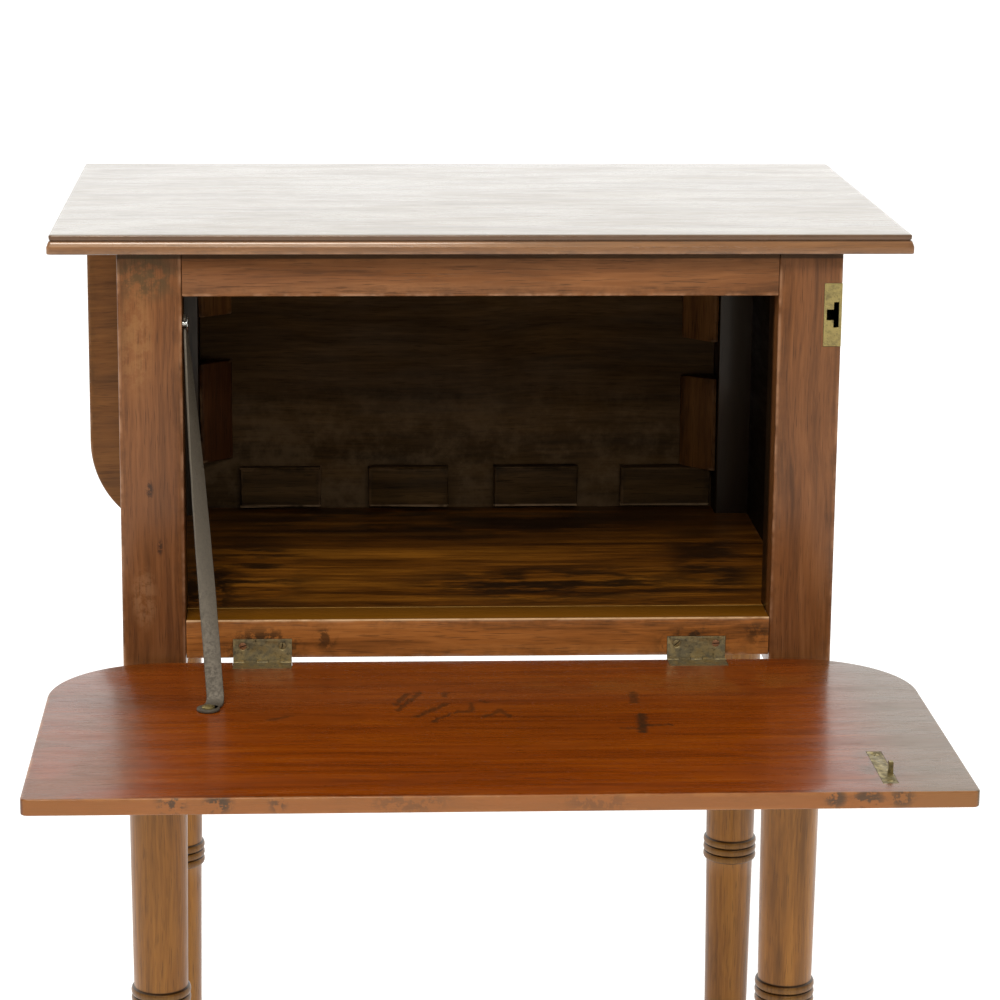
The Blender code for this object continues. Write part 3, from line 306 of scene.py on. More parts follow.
FRAME_TONES = {"dark": (0.055, 0.018, 0.005), "middle": (0.148, 0.052, 0.015), "light": (0.220, 0.086, 0.028)}
RAIL_TONES = {"dark": (0.100, 0.032, 0.006), "middle": (0.290, 0.098, 0.020), "light": (0.400, 0.150, 0.036)}
TOP_TONES = {"dark": (0.085, 0.032, 0.008), "middle": (0.165, 0.066, 0.018), "light": (0.235, 0.105, 0.034)}
FLAP_TONES = {"dark": (0.070, 0.012, 0.001), "middle": (0.160, 0.029, 0.001), "light": (0.225, 0.050, 0.002)}
LEAF_TONES = {"dark": (0.072, 0.025, 0.004), "middle": (0.140, 0.050, 0.009), "light": (0.200, 0.078, 0.016)}
BACK_TONES = {"dark": (0.020, 0.009, 0.002), "middle": (0.056, 0.027, 0.007), "light": (0.100, 0.052, 0.016)}
BLOCK_TONES = {"dark": (0.040, 0.014, 0.003), "middle": (0.130, 0.048, 0.010), "light": (0.210, 0.090, 0.022)}
RED_TONES = {"dark": (0.028, 0.007, 0.001), "middle": (0.066, 0.019, 0.004), "light": (0.110, 0.036, 0.009)}
FLOOR_TONES = {"dark": (0.045, 0.013, 0.001), "middle": (0.150, 0.047, 0.003), "light": (0.290, 0.104, 0.008)}
print("wood tones ready")


# %% [markdown]
# ## Old metal
# The hinges, lock and catch are brass that has gone dull and brown where nobody touches
# it. The stay and its fittings are iron with a dark brown skin, pitted by old rust. Both
# are a bright metal under a patchy skin, so one finish serves, with its own colours.

# %% The metal finish
def metal(name, limits, bright, dull, grime, rough=0.4, cover=0.5, rub=0.6, pits=0.4, scale=1.0,
          scratches=0.25, purity=0.95):
    """Metal with a dull skin, rubbed bright along the edges."""
    made, place, shader = start_material(name)
    own = move(place, seed_of(name))
    blotch = cloud(own, 160.0 * scale, 5.0, 0.65)
    skin = blotch.fade(0.30 + 0.3 * (1 - cover), 0.62 + 0.2 * (1 - cover))
    edge = edge_distance(face_distances(place, limits))
    rubbed = edge.fade(0.0011, 0.0002) * cloud(own, 220.0, 3.0, 0.6).fade(0.38, 0.6) * rub
    dots = cloud(own, 900.0 * scale, 3.0, 0.6)
    pit = dots.fade(0.58, 0.70) * pits
    lines = cloud(stretch(own, (1.0, 0.06, 0.12)), 1600.0, 2.0, 0.5)
    scratch = lines.fade(0.66, 0.74) * scratches
    colour = blend_colour(skin * cover, bright, dull)
    colour = blend_colour(cloud(own, 420.0 * scale, 4.0, 0.7).fade(0.48, 0.75) * cover, colour, grime)
    colour = blend_colour(pit, colour, tuple(c * 0.4 for c in grime))
    colour = blend_colour(rubbed.higher(scratch), colour, bright)
    roughness = (skin * 0.22 + pit * 0.3 + rough - rubbed * 0.15).higher(0.12)
    metallic = purity - skin * cover * 0.45 - pit * 0.3
    height = (blotch - 0.5) * 0.00010 - pit * 0.00014 - scratch * 0.00002
    normal = height.node("ShaderNodeBump", {}, {"Height": height, "Distance": 1.0, "Strength": 0.8})
    connect(shader, "Base Color", colour)
    connect(shader, "Roughness", roughness)
    connect(shader, "Metallic", metallic)
    connect(shader, "Normal", normal)
    return made


BRASS = {"bright": (0.34, 0.26, 0.12), "dull": (0.105, 0.088, 0.052), "grime": (0.022, 0.018, 0.012)}
RUBBED_BRASS = {"bright": (0.32, 0.25, 0.095), "dull": (0.125, 0.098, 0.040), "grime": (0.04, 0.033, 0.018)}
IRON = {"bright": (0.22, 0.19, 0.155), "dull": (0.115, 0.096, 0.078), "grime": (0.035, 0.028, 0.022)}
STAY_IRON = {"bright": (0.098, 0.080, 0.056), "dull": (0.072, 0.058, 0.039), "grime": (0.052, 0.042, 0.029)}
STEEL = {"bright": (0.50, 0.50, 0.46), "dull": (0.20, 0.20, 0.18), "grime": (0.05, 0.045, 0.04)}
print("metals ready")


# %% [markdown]
# ## Shapes built from rings
# Turned legs, a moulded edge and a twisted strap have one thing in common: a closed line
# that changes as it travels. Joining one ring of points to the next gives all of them,
# with as many steps as the curve needs, and flat caps close the ends.

# %% Joining rings into a solid
def finish_mesh(name, shape, smooth_angle=35.0):
    """A bmesh as an object in the frame's own coordinates, smooth except at sharp edges."""
    bmesh.ops.recalc_face_normals(shape, faces=shape.faces)
    mesh = bpy.data.meshes.new(name)
    shape.to_mesh(mesh)
    shape.free()
    mesh.shade_smooth()
    mesh.set_sharp_from_angle(angle=math.radians(smooth_angle))
    made = bpy.data.objects.new(name, mesh)
    bpy.context.scene.collection.objects.link(made)
    return made


def joined_rings(name, rings, smooth_angle=35.0):
    """A solid from rings of points, each joined to the next, with capped ends."""
    shape = bmesh.new()
    loops = [[shape.verts.new(point) for point in ring] for ring in rings]
    for first, second in zip(loops, loops[1:]):
        count = len(first)
        for number in range(count):
            follow = (number + 1) % count
            shape.faces.new((first[number], first[follow], second[follow], second[number]))
    shape.faces.new(loops[0])
    shape.faces.new(loops[-1])
    return finish_mesh(name, shape, smooth_angle)


def add_block(shape, low, high, edge, segments=3):
    """A block with rounded edges inside a bmesh."""
    low, high = Vector(low), Vector(high)
    made = bmesh.ops.create_cube(shape, size=1.0)
    bmesh.ops.scale(shape, vec=high - low, verts=made["verts"])
    bmesh.ops.translate(shape, vec=(low + high) / 2, verts=made["verts"])
    edges = list({line for corner in made["verts"] for line in corner.link_edges})
    bmesh.ops.bevel(shape, geom=edges, offset=edge, segments=segments, affect="EDGES", profile=0.5)


def recess(piece, blocks):
    """Cut blocks, each (low, high), out of a piece and keep the result as its mesh."""
    tools = []
    for low, high in blocks:
        shape = bmesh.new()
        add_block(shape, low, high, 0.00005, 1)
        tool = finish_mesh("recess_tool", shape)
        step = piece.modifiers.new("recess", "BOOLEAN")
        step.operation = "DIFFERENCE"
        step.solver = "EXACT"
        step.object = tool
        tools.append(tool)
    bpy.context.view_layer.update()
    seen = piece.evaluated_get(bpy.context.evaluated_depsgraph_get())
    mesh = bpy.data.meshes.new_from_object(seen)
    mesh.name = piece.name
    piece.modifiers.clear()
    piece.data = mesh
    mesh.set_sharp_from_angle(angle=math.radians(35.0))
    for tool in tools:
        bpy.data.objects.remove(tool, do_unlink=True)


def eased_copy(name, node, ease, segments=2, jitter=0.0, sharp=25.0, smooth_angle=40.0):
    """A frame node made again with rounded edges, and hand-cut corners if jitter is given."""
    shape = bmesh.new()
    shape.from_mesh(NODES[node].data)
    bmesh.ops.remove_doubles(shape, verts=shape.verts, dist=0.000002)
    bmesh.ops.dissolve_limit(shape, angle_limit=math.radians(1.0), verts=shape.verts, edges=shape.edges)
    chance = random.Random(node)
    if jitter:
        for corner in shape.verts:
            corner.co += Vector(chance.uniform(-jitter, jitter) for _ in range(3))
    keen = [line for line in shape.edges
            if len(line.link_faces) == 2 and line.calc_face_angle() > math.radians(sharp)]
    bmesh.ops.bevel(shape, geom=keen, offset=ease, segments=segments, affect="EDGES", profile=0.5,
                    clamp_overlap=True)
    made = finish_mesh(name, shape, smooth_angle)
    if "custom_normal" in made.data.attributes:
        made.data.attributes.remove(made.data.attributes["custom_normal"])
        made.data.set_sharp_from_angle(angle=math.radians(smooth_angle))
    return made


def settle(piece, body, material, *nodes, slot=None):
    """Give a piece its finish and its body, and let it stand for frame nodes."""
    piece.data.materials.clear()
    piece.data.materials.append(material)
    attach(piece, body)
    if nodes:
        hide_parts(*nodes)
    return piece


print("shape tools ready")


# %% [markdown]
# ## Turned legs
# Each leg is one stick: square where the box is built on it, then turned. The turner cut
# three small beads below the square and three more halfway down, with a fine line between
# each, and let the shaft taper to the floor. The rings of points are close where the beads
# are, so that they catch the light as real turning does.

# %% Leg profile and squares
SQUARE_LOW = 412 * MM
RING_PITCH = 6.6 * MM
RING_COUNT = 3
LOWER_RINGS_TOP = 160 * MM
UPPER_RINGS_TOP = 398 * MM
TOP_RADIUS = 22.6 * MM
WAIST_RADIUS = 20.5 * MM
ANKLE_RADIUS = 19.8 * MM
FOOT_RADIUS = 18.2 * MM
LOWER_RING_RADIUS = 22.6 * MM
UPPER_RING_RADIUS = 22.9 * MM
LEG_SIDES = 72


def bead_points(top, outer):
    """Radius and height down three beads, with a fine quirk between each."""
    points = []
    valley = outer - RING_PITCH * 0.34
    for number in range(RING_COUNT):
        middle = top - RING_PITCH * (number + 0.5)
        for step in range(-7, 8):
            turn = -math.radians(step * 12.4)
            points.append((valley + (outer - valley) * max(0.0, math.cos(turn)) ** 0.8,
                           middle + RING_PITCH * 0.5 * math.sin(turn)))
    return points


def leg_points():
    """The whole turned outline from the square down to the floor."""
    depth = RING_COUNT * RING_PITCH
    points = [(TOP_RADIUS - 0.4 * MM, SQUARE_LOW + 4 * MM), (TOP_RADIUS - 0.4 * MM, SQUARE_LOW - 3 * MM)]
    points.append((TOP_RADIUS - 1.2 * MM, UPPER_RINGS_TOP + 1.2 * MM))
    points += bead_points(UPPER_RINGS_TOP, UPPER_RING_RADIUS)
    points.append((TOP_RADIUS - 1.0 * MM, UPPER_RINGS_TOP - depth - 1.0 * MM))
    points.append((TOP_RADIUS - 0.3 * MM, UPPER_RINGS_TOP - depth - 4 * MM))
    steps = 14
    start = UPPER_RINGS_TOP - depth - 4 * MM
    end = LOWER_RINGS_TOP + 2 * MM
    for step in range(1, steps + 1):
        share = step / steps
        points.append((TOP_RADIUS - 0.3 * MM + (WAIST_RADIUS - TOP_RADIUS + 0.3 * MM) * share,
                       start + (end - start) * share))
    points.append((WAIST_RADIUS - 0.2 * MM, LOWER_RINGS_TOP + 0.6 * MM))
    points += bead_points(LOWER_RINGS_TOP, LOWER_RING_RADIUS)
    points.append((ANKLE_RADIUS, LOWER_RINGS_TOP - depth - 0.8 * MM))
    for height in (125, 100, 75, 50, 25, 8, 3):
        share = height * MM / (LOWER_RINGS_TOP - depth)
        points.append((FOOT_RADIUS + (ANKLE_RADIUS - FOOT_RADIUS) * share, height * MM))
    points.append((FOOT_RADIUS - 0.8 * MM, 0.8 * MM))
    points.append((FOOT_RADIUS - 1.8 * MM, 0.0))
    return points


def turned_leg(name, node, seats=()):
    """Square and shaft as one piece; seats are blocks cut out of the square."""
    low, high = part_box(node)
    middle = (low + high) / 2
    rings = []
    for radius, height in leg_points():
        ring = []
        for number in range(LEG_SIDES):
            turn = math.tau * number / LEG_SIDES
            ring.append((middle.x + radius * math.cos(turn), middle.y + radius * math.sin(turn), height))
        rings.append(ring)
    shape = bmesh.new()
    add_block(shape, (low.x, low.y, SQUARE_LOW), (high.x, high.y, high.z), 1.3 * MM)
    square = finish_mesh(name + "_square", shape, 50.0)
    if seats:
        recess(square, seats)
    shaft = joined_rings(name, rings, 50.0)
    shape = bmesh.new()
    shape.from_mesh(shaft.data)
    shape.from_mesh(square.data)
    bpy.data.objects.remove(shaft, do_unlink=True)
    bpy.data.objects.remove(square, do_unlink=True)
    return finish_mesh(name, shape, 50.0)


LEG_NODES = ("leg_front_left", "leg_front_right", "leg_rear_left", "leg_rear_right")
lock_low, lock_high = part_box("lock_plate")
margin = Vector((0.2 * MM, 0.2 * MM, 0.2 * MM))
lock_seats = {"leg_front_right": [(lock_low - margin, lock_high + margin)]}
legs = {node: turned_leg("turned_" + node, node, lock_seats.get(node, ())) for node in LEG_NODES}
print("leg points:", len(leg_points()))


# %% [markdown]
# The front legs show most. The left one has a paler rubbed patch where the flap's corner
# and people's hands have passed, a few dark knocks, and one small chip that shows new wood.
# Below the box the legs are a browner, quieter colour than the polished front. Painted shade darkens the
# quirks between the beads, a band just under the top, and the faces that look into the box.

# %% Leg finish
def dab(centre, reach, colour, strength=1.0, break_up=0.0, size=200.0, rough=None):
    """A soft local mark on wood."""
    def mask(place, own):
        shape = local_spot(place, centre, reach) * strength
        if break_up:
            shape = shape * cloud(own, size, 4.0, 0.7).fade(0.5 - 0.15 * break_up, 0.5 + 0.1 * break_up)
        return shape
    made = {"mask": mask, "colour": colour}
    if rough is not None:
        made["rough"] = rough
    return made


def below(level, fade_over, tint):
    """The wood's colour multiplied by a tint below a height."""
    def mask(place, own):
        return axes_of(place)[2].fade(level + fade_over, level)
    return {"mask": mask, "colour": tint, "how": "MULTIPLY"}


def band(axis, low, high, soft, colour, strength=1.0, how="MIX", patchy=None):
    """A stripe between two places along one axis; patchy breaks it up at that scale."""
    def mask(place, own):
        part = axes_of(place)[axis]
        shape = part.fade(low - soft, low) * part.fade(high + soft, high) * strength
        if patchy:
            shape = shape * cloud(own, patchy, 4.0, 0.7).fade(0.35, 0.6)
        return shape
    return {"mask": mask, "colour": colour, "how": how}


def arris(axes, limits, reach, colour, strength=1.0, patchy=45.0):
    """A stripe along one edge: near a limit on each of two axes at once."""
    def mask(place, own):
        parts = axes_of(place)
        shape = None
        for axis, limit in zip(axes, limits):
            near = (parts[axis] - limit).size().fade(reach, reach * 0.4)
            shape = near if shape is None else shape * near
        return shape * cloud(own, patchy, 4.0, 0.7).fade(0.25, 0.55) * strength
    return {"mask": mask, "colour": colour}


def quirk_shade_lines(top):
    """Painted shade: dark lines in the fine quirks between the beads under a height."""
    def mask(place, own):
        height = axes_of(place)[2]
        inside = height.fade(top - (RING_COUNT + 0.15) * RING_PITCH, top - RING_COUNT * RING_PITCH)
        inside = inside * height.fade(top + 0.15 * RING_PITCH, top)
        line = ((height - top) * (math.tau / RING_PITCH) + math.pi / 2).wave().fade(0.55, 0.98)
        return inside * line * 0.85
    return {"mask": mask, "colour": (0.020, 0.010, 0.004)}


def painted_inside_shade(reach, front, rear, floor_level, strength=0.95):
    """Painted shade, near black, on the faces that look into the box."""
    def mask(place, own):
        across, along, height = axes_of(place)
        inner = across.size().fade(reach + 1.5 * MM, reach) * along.fade(front, front + 10 * MM)
        above = height.fade(floor_level - 4 * MM, floor_level)
        return inner * along.fade(rear + 1 * MM, rear) * above * strength
    return {"mask": mask, "colour": (0.006, 0.004, 0.002)}


FRONT_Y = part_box("leg_front_left")[0].y
INSIDE_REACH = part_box("side_panel_right")[0].x
BACK_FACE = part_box("back_panel")[0].y
BOX_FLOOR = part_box("floor_board")[1].z
left_marks = (
    dab((-0.248, FRONT_Y, 0.660), (0.016, 0.02, 0.052), (0.270, 0.135, 0.045), 0.35, 0.8, 120.0),
    dab((-0.240, FRONT_Y, 0.708), (0.030, 0.02, 0.024), (0.034, 0.030, 0.012), 0.65, 0.6, 70.0),
    dab((-0.240, FRONT_Y, 0.551), (0.004, 0.01, 0.009), (0.020, 0.008, 0.005), 0.9, 0.7, 300.0),
    dab((-0.233, FRONT_Y, 0.508), (0.003, 0.01, 0.008), (0.025, 0.010, 0.006), 0.9, 0.7, 300.0),
    dab((-0.245, FRONT_Y, 0.470), (0.012, 0.01, 0.030), (0.330, 0.170, 0.080), 0.35, 0.9, 160.0),
)
for node in LEG_NODES:
    low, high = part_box(node)
    marks = left_marks if node == "leg_front_left" else ()
    beads = []
    for top in (UPPER_RINGS_TOP, LOWER_RINGS_TOP):
        beads.append(band(2, top - RING_COUNT * RING_PITCH, top, 1 * MM, (0.62, 0.70, 0.80), 0.8, "MULTIPLY"))
        beads.append(quirk_shade_lines(top))
    front = high.y if "rear" not in node else low.y - 20 * MM
    # painted shadow under the top's overhang: a dark band along the top of each leg
    beads.append(band(2, high.z - 4.4 * MM, 1.0, 1.0 * MM, (0.020, 0.010, 0.004), 0.8))
    # painted shade: near black on the faces that look into the box
    inside_shade = painted_inside_shade(INSIDE_REACH, front - 30 * MM, BACK_FACE, BOX_FLOOR)
    shade = below(SQUARE_LOW - 4 * MM, 8 * MM, (1.55, 1.68, 0.80))
    made = wood(node + "_polish", (low, high), 2, **FRAME_TONES, rough=0.36, coat=0.20, coat_rough=0.18,
                pores=0.45, streaks=0.95, patina=0.25, edge_wear=0.6, dirt=0.35,
                spots=(shade, *beads, inside_shade, *marks))
    settle(legs[node], "carcass", made, node, slot="frame_mahogany")
print("legs dressed:", len(legs))


# %% [markdown]
# ## The moulded top
# The top's front and sides carry a small moulding: a round nose between two fine steps.
# One outline with slightly rounded corners is drawn at each step of the moulding, and the
# rings are joined. The rear edge stays square, because the leaf hangs against it.

# %% Top outline and moulding
TOP_LOW, TOP_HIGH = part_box("table_top")
TOP_THICK = TOP_HIGH.z - TOP_LOW.z
NOSE = [(1.2, 0.0), (0.6, 0.12), (0.15, 0.4), (0.0, 1.0), (0.0, 3.2), (0.0, 5.1), (0.03, 5.4), (0.10, 5.65),
        (0.20, 5.9), (0.80, 7.6), (1.40, 9.15), (1.70, 9.40), (2.10, 9.55), (2.45, 9.75), (2.40, 10.0),
        (2.0, 10.2), (1.75, 10.5), (1.55, 12.8), (1.65, 13.3), (2.05, 13.8), (3.0, 14.1), (5.0, 14.2)]


def top_outline(inset, height):
    """The top's outline, drawn in by inset at the front and sides."""
    corner = 2.2 * MM
    west, east = TOP_LOW.x + inset, TOP_HIGH.x - inset
    front, rear = TOP_LOW.y + inset, TOP_HIGH.y - min(inset, 0.8 * MM)
    points = [(west, rear, height), (east, rear, height)]
    for centre_x, start in ((east - corner, 0), (west + corner, -90)):
        for step in range(7):
            turn = math.radians(start - step * 15)
            points.append((centre_x + corner * math.cos(turn),
                           front + corner + corner * math.sin(turn), height))
    return points


top_rings = [top_outline(inset * MM, TOP_LOW.z + height * MM) for inset, height in NOSE]
moulded_top = joined_rings("moulded_top", top_rings, 32.0)
top_marks = (
    band(2, TOP_LOW.z + 9.3 * MM, TOP_LOW.z + 13.6 * MM, 0.4 * MM, (0.050, 0.022, 0.009), 0.75),
    band(2, TOP_LOW.z + 13.95 * MM, TOP_HIGH.z + 1 * MM, 0.3 * MM, (0.50, 0.85, 1.10), 1.0, "MULTIPLY"),
    # painted shade along the underside of the nose
    band(2, TOP_LOW.z - 1 * MM, TOP_LOW.z + 0.4 * MM, 0.4 * MM, (0.35, 0.30, 0.25), 1.0, "MULTIPLY"),
)
top_finish = wood("top_polish", (TOP_LOW, TOP_HIGH), 0, **TOP_TONES, rough=0.30, coat=0.60, coat_rough=0.12,
                  shine=0.45, pores=0.35, streaks=0.8, patina=0.20, edge_wear=0.35, dirt=0.35,
                  dirt_reach=0.006, broad=70.0, bump=0.5, spots=top_marks)
settle(moulded_top, "carcass", top_finish, "table_top", slot="top_mahogany")
print("top thickness:", round(TOP_THICK * 1000, 1), "mm")


# %% [markdown]
# ## Flap and rear leaf
# Both are thin boards with two big rounded corners. The flap's face is the best polished
# surface of the table and works as its writing and cutting board, so it has ink marks. The
# outline is drawn once, rounded over at both faces, and the hinge and catch seats are cut
# out of it.

# %% Rounded boards
def board_outline(half, hinge_edge, far_edge, big, small, inset):
    """A board seen from above, hinge edge first. Corners at the hinge edge are the big ones."""
    sense = 1 if far_edge > hinge_edge else -1
    points = []
    for centre_across, centre_along, radius, start in (
            (half - big, hinge_edge + sense * big, big, 90),
            (half - small, far_edge - sense * small, small, 0),
            (-half + small, far_edge - sense * small, small, -90),
            (-half + big, hinge_edge + sense * big, big, -180)):
        steps = 28 if radius == big else 8
        for step in range(steps + 1):
            turn = math.radians(start - 90 * step / steps)
            across = centre_across + (radius - inset) * math.cos(turn)
            along = centre_along - sense * (radius - inset) * math.sin(turn)
            points.append((across, along))
    return points


def rounded_board(name, half, hinge_edge, far_edge, big, small, low, high, upright, ease=1.8 * MM):
    """The board as rings through its thickness; upright boards lie in X and Z."""
    rings = []
    quarter = 6
    for base, sign in ((low, -1), (high, 1)):
        steps = range(quarter + 1) if sign < 0 else range(quarter, -1, -1)
        for step in steps:
            turn = math.radians(90 * step / quarter)
            inset = ease * (1 - math.sin(turn))
            level = base - sign * ease * (1 - math.cos(turn))
            ring = board_outline(half, hinge_edge, far_edge, big, small, inset)
            if upright:
                rings.append([(across, level, along) for across, along in ring])
            else:
                rings.append([(across, along, level) for across, along in ring])
    return joined_rings(name, rings, 40.0)


BIG_CORNER = 81 * MM
SMALL_CORNER = 5 * MM
flap_low, flap_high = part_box("flap")
flap = rounded_board("fall_front", flap_high.x, flap_high.y, flap_low.y, BIG_CORNER, SMALL_CORNER,
                     flap_low.z, flap_high.z, upright=False, ease=1.1 * MM)
seats = []
for side in ("left", "right"):
    low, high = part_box(f"flap_hinge_{side}_flap_plate")
    seat_high = Vector((high.x, high.y + 9 * MM, high.z + 2 * MM)) + margin
    seats.append((Vector((low.x, low.y, flap_high.z - 1.4 * MM)) - margin, seat_high))
    seats.append((Vector((low.x, flap_high.y - 4.5 * MM, flap_low.z - 5 * MM)) - margin, seat_high))
low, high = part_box("catch_plate")
seats.append((Vector((low.x, low.y, flap_high.z - 1.7 * MM)) - margin,
              Vector((high.x, high.y, flap_high.z + 3 * MM)) + margin))
recess(flap, seats)

leaf_low, leaf_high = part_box("rear_leaf")
leaf = rounded_board("hanging_leaf", leaf_high.x, leaf_low.z, leaf_high.z, BIG_CORNER, SMALL_CORNER,
                     leaf_low.y, leaf_high.y, upright=True, ease=2.4 * MM)
print("flap:", [round((b - a) * 1000, 1) for a, b in zip(flap_low, flap_high)], "mm")


# %% [markdown]
# The ink marks were made by a pen or a leaking bottle: small dark scribbles with hollow middles, near the
# middle of the flap and one at its right. The left end of the flap is duller and browner, where the polish
# has gone thin; the right end is darkened olive with painted shade.

# %% Flap and leaf finish
def pen_stroke(points, half, strength=0.8, colour=(0.018, 0.010, 0.004)):
    """A wandering stroke through points on the flap, in millimetres from the frame's middle."""
    def mask(place, own):
        unsteady = place.node("ShaderNodeTexNoise", {}, {"Vector": own, "Scale": 260.0, "Detail": 3.0},
                              out="Color")
        bent = place.node("ShaderNodeVectorMath", {"operation": "MULTIPLY_ADD"},
                          {0: unsteady, 1: (8 * MM, 13 * MM, 0.0),
                           2: move(place, (-4 * MM, -6.5 * MM, 0.0))})
        nearest = None
        for start, end in zip(points, points[1:]):
            start = Vector((start[0] * MM, start[1] * MM, FLAP_TOP))
            line = Vector((end[0] * MM, end[1] * MM, FLAP_TOP)) - start
            away = move(bent, tuple(-start))
            share = away.node("ShaderNodeVectorMath", {"operation": "DOT_PRODUCT"},
                              {0: away, 1: tuple(line / line.length_squared)}, out="Value")
            share = share.lower(1.0).higher(0.0)
            nearby = share.node("ShaderNodeVectorMath", {"operation": "SCALE"},
                                {0: tuple(line), "Scale": share})
            gap = away.node("ShaderNodeVectorMath", {"operation": "DISTANCE"}, {0: away, 1: nearby},
                            out="Value")
            nearest = gap if nearest is None else nearest.lower(gap)
        broken = cloud(own, 330.0, 3.0, 0.7).fade(0.30, 0.52, 0.35, 1.0)
        return nearest.fade(half * MM * 1.25, half * MM * 0.2) * broken * strength
    return {"mask": mask, "colour": colour, "rough": 0.12}


FLAP_TOP = flap_high.z
FLAP_FRONT = flap_low.y
INK_STROKES = (
    (((-63, -160), (-55, -141), (-46, -119)), 2.6, 0.75),
    (((-64, -148), (-55, -122)), 3.2, 0.70),
    (((-50, -176), (-41, -163), (-29, -147)), 3.6, 0.75),
    (((-39, -188), (-35, -179)), 2.6, 0.75),
    (((-32, -177), (-23, -165), (-11, -163), (-11, -147)), 2.4, 0.65),
    (((-4, -140), (1, -145)), 2.6, 0.60),
    (((-3, -177), (6, -166)), 3.0, 0.65),
    (((8, -159), (14, -176)), 2.6, 0.60),
    (((-28, -121), (-29, -128)), 3.2, 0.60),
    (((106, -125), (104, -147)), 4.2, 0.70),
    (((106, -176), (103, -212)), 4.4, 0.90),
    (((106, -199), (123, -198)), 3.0, 0.75),
    (((90, -205), (99, -205)), 2.4, 0.55),
    (((-152, -180), (-138, -172)), 2.6, 0.65),
)
edge_stains = ((-213, 8, 0.85), (-183, 8, 0.85), (-145, 5, 0.6), (-60, 22, 0.35), (60, 18, 0.35),
               (215, 6, 0.8), (236, 9, 0.8), (258, 7, 0.7))
flap_marks = [
    band(0, -1.0, -0.262, 40 * MM, (0.095, 0.032, 0.003), 0.55, patchy=14.0),
    # painted shade: the right end of the flap darkened olive
    band(0, 0.285, 1.0, 60 * MM, (0.075, 0.060, 0.024), 0.70),
    band(1, -1.0, FLAP_FRONT + 0.7 * MM, 0.9 * MM, (0.250, 0.098, 0.030), 0.70),
    dab((0.252, -0.290, FLAP_TOP), (0.020, 0.050, 0.01), (0.060, 0.026, 0.006), 0.75, 0.4, 60.0),
    dab((0.140, -0.100, FLAP_TOP), (0.16, 0.035, 0.01), (0.200, 0.070, 0.010), 0.35, 0.6, 20.0),
]
flap_marks += [pen_stroke(points, half, strength) for points, half, strength in INK_STROKES]
flap_marks += [dab((middle * MM, FLAP_FRONT, FLAP_TOP - 4 * MM), (half * 1.6 * MM, 3 * MM, 9 * MM),
                   (0.035, 0.026, 0.018), strength, 0.25, 140.0) for middle, half, strength in edge_stains]
flap_finish = wood("flap_polish", (flap_low, flap_high), 0, **FLAP_TONES, rough=0.27, coat=0.17,
                   coat_rough=0.12, pores=0.45, streaks=0.75, patina=0.20, edge_wear=0.5,
                   edge_colour=(0.40, 0.17, 0.05), dirt=0.35, spots=flap_marks, bump=0.7, broad=105.0,
                   shine=0.22)
settle(flap, "flap", flap_finish, "flap", slot="flap_mahogany")
leaf_finish = wood("leaf_polish", (leaf_low, leaf_high), 0, **LEAF_TONES, rough=0.36, coat=0.12,
                   coat_rough=0.2, pores=0.5, streaks=1.0, patina=0.35, edge_wear=0.6, dirt=0.5, shine=0.2)
settle(leaf, "rear_leaf", leaf_finish, "rear_leaf", slot="leaf_mahogany")
print("boards dressed")


# %% [markdown]
# ## The box
# Rails, sides, back, floor and blocks keep the frame's shapes and get their own woods: the rails match the
# legs, the back and the blocks were never polished and have gone dark, and the floor is golden in front with
# black stains. Painted shade blackens the faces that look into the box and runs along the top rail under the
# top, and painted highlights run along the floor's front arris and the blocks' lower arris.

# %% Box finish
GRIME = (0.022, 0.011, 0.004)
rail_low, rail_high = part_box("bottom_rail")
hinge_grime = []
for side in ("left", "right"):
    low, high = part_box(f"flap_hinge_{side}_rail_plate")
    centre = ((low.x + high.x) / 2, rail_low.y, (rail_low.z + high.z) / 2)
    reach = ((high.x - low.x) / 2 + 18 * MM, 6 * MM, (high.z - rail_low.z) / 2 + 14 * MM)
    hinge_grime.append(dab(centre, reach, GRIME, 0.9, 0.5, 90.0, 0.15))
hinge_grime.append(dab((-0.113, rail_low.y, 0.438), (0.012, 0.006, 0.012), GRIME, 0.7, 0.5, 150.0))
hinge_grime.append(dab((0.205, rail_low.y, 0.440), (0.014, 0.006, 0.012), GRIME, 0.6, 0.7, 150.0))
rail_marks = {
    "top_rail": (
        dab((-0.137, rail_low.y, 0.6914), (0.0026, 0.004, 0.0024), (0.85, 0.72, 0.60), 0.95),
        # painted shadow under the top's overhang along the top of the rail
        band(2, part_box("top_rail")[1].z - 4.4 * MM, 1.0, 1.0 * MM, (0.020, 0.010, 0.004), 0.8),
    ),
    "bottom_rail": (
        *hinge_grime,
        band(2, rail_high.z - 0.25 * MM, 1.0, 0.3 * MM, (0.150, 0.056, 0.001), 0.80),
        arris((1, 2), (rail_low.y, rail_high.z), 1.5 * MM, (0.60, 0.38, 0.20), 0.85),
    ),
}
for node, tones in (("top_rail", FRAME_TONES), ("bottom_rail", RAIL_TONES)):
    rail = eased_copy("worn_" + node, node, 0.5 * MM, 2)
    settle(rail, "carcass", wood(node + "_polish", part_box(node), 0, **tones, rough=0.36, coat=0.08,
                                 coat_rough=0.22, pores=0.5, patina=0.25, edge_wear=0.8, dirt=0.45,
                                 spots=rail_marks[node]),
           node, slot="frame_mahogany")
for node in ("side_panel_left", "side_panel_right"):
    # painted shade: near black on the inner faces of the sides
    side_inside_shade = painted_inside_shade(INSIDE_REACH + 1 * MM, -1.0, 1.0, 0.0, 0.98)
    dress(node, wood(node + "_polish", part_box(node), 1, **FRAME_TONES, rough=0.5, shine=0.15, pores=0.5,
                     patina=0.3, edge_wear=0.3, spots=(side_inside_shade,)))


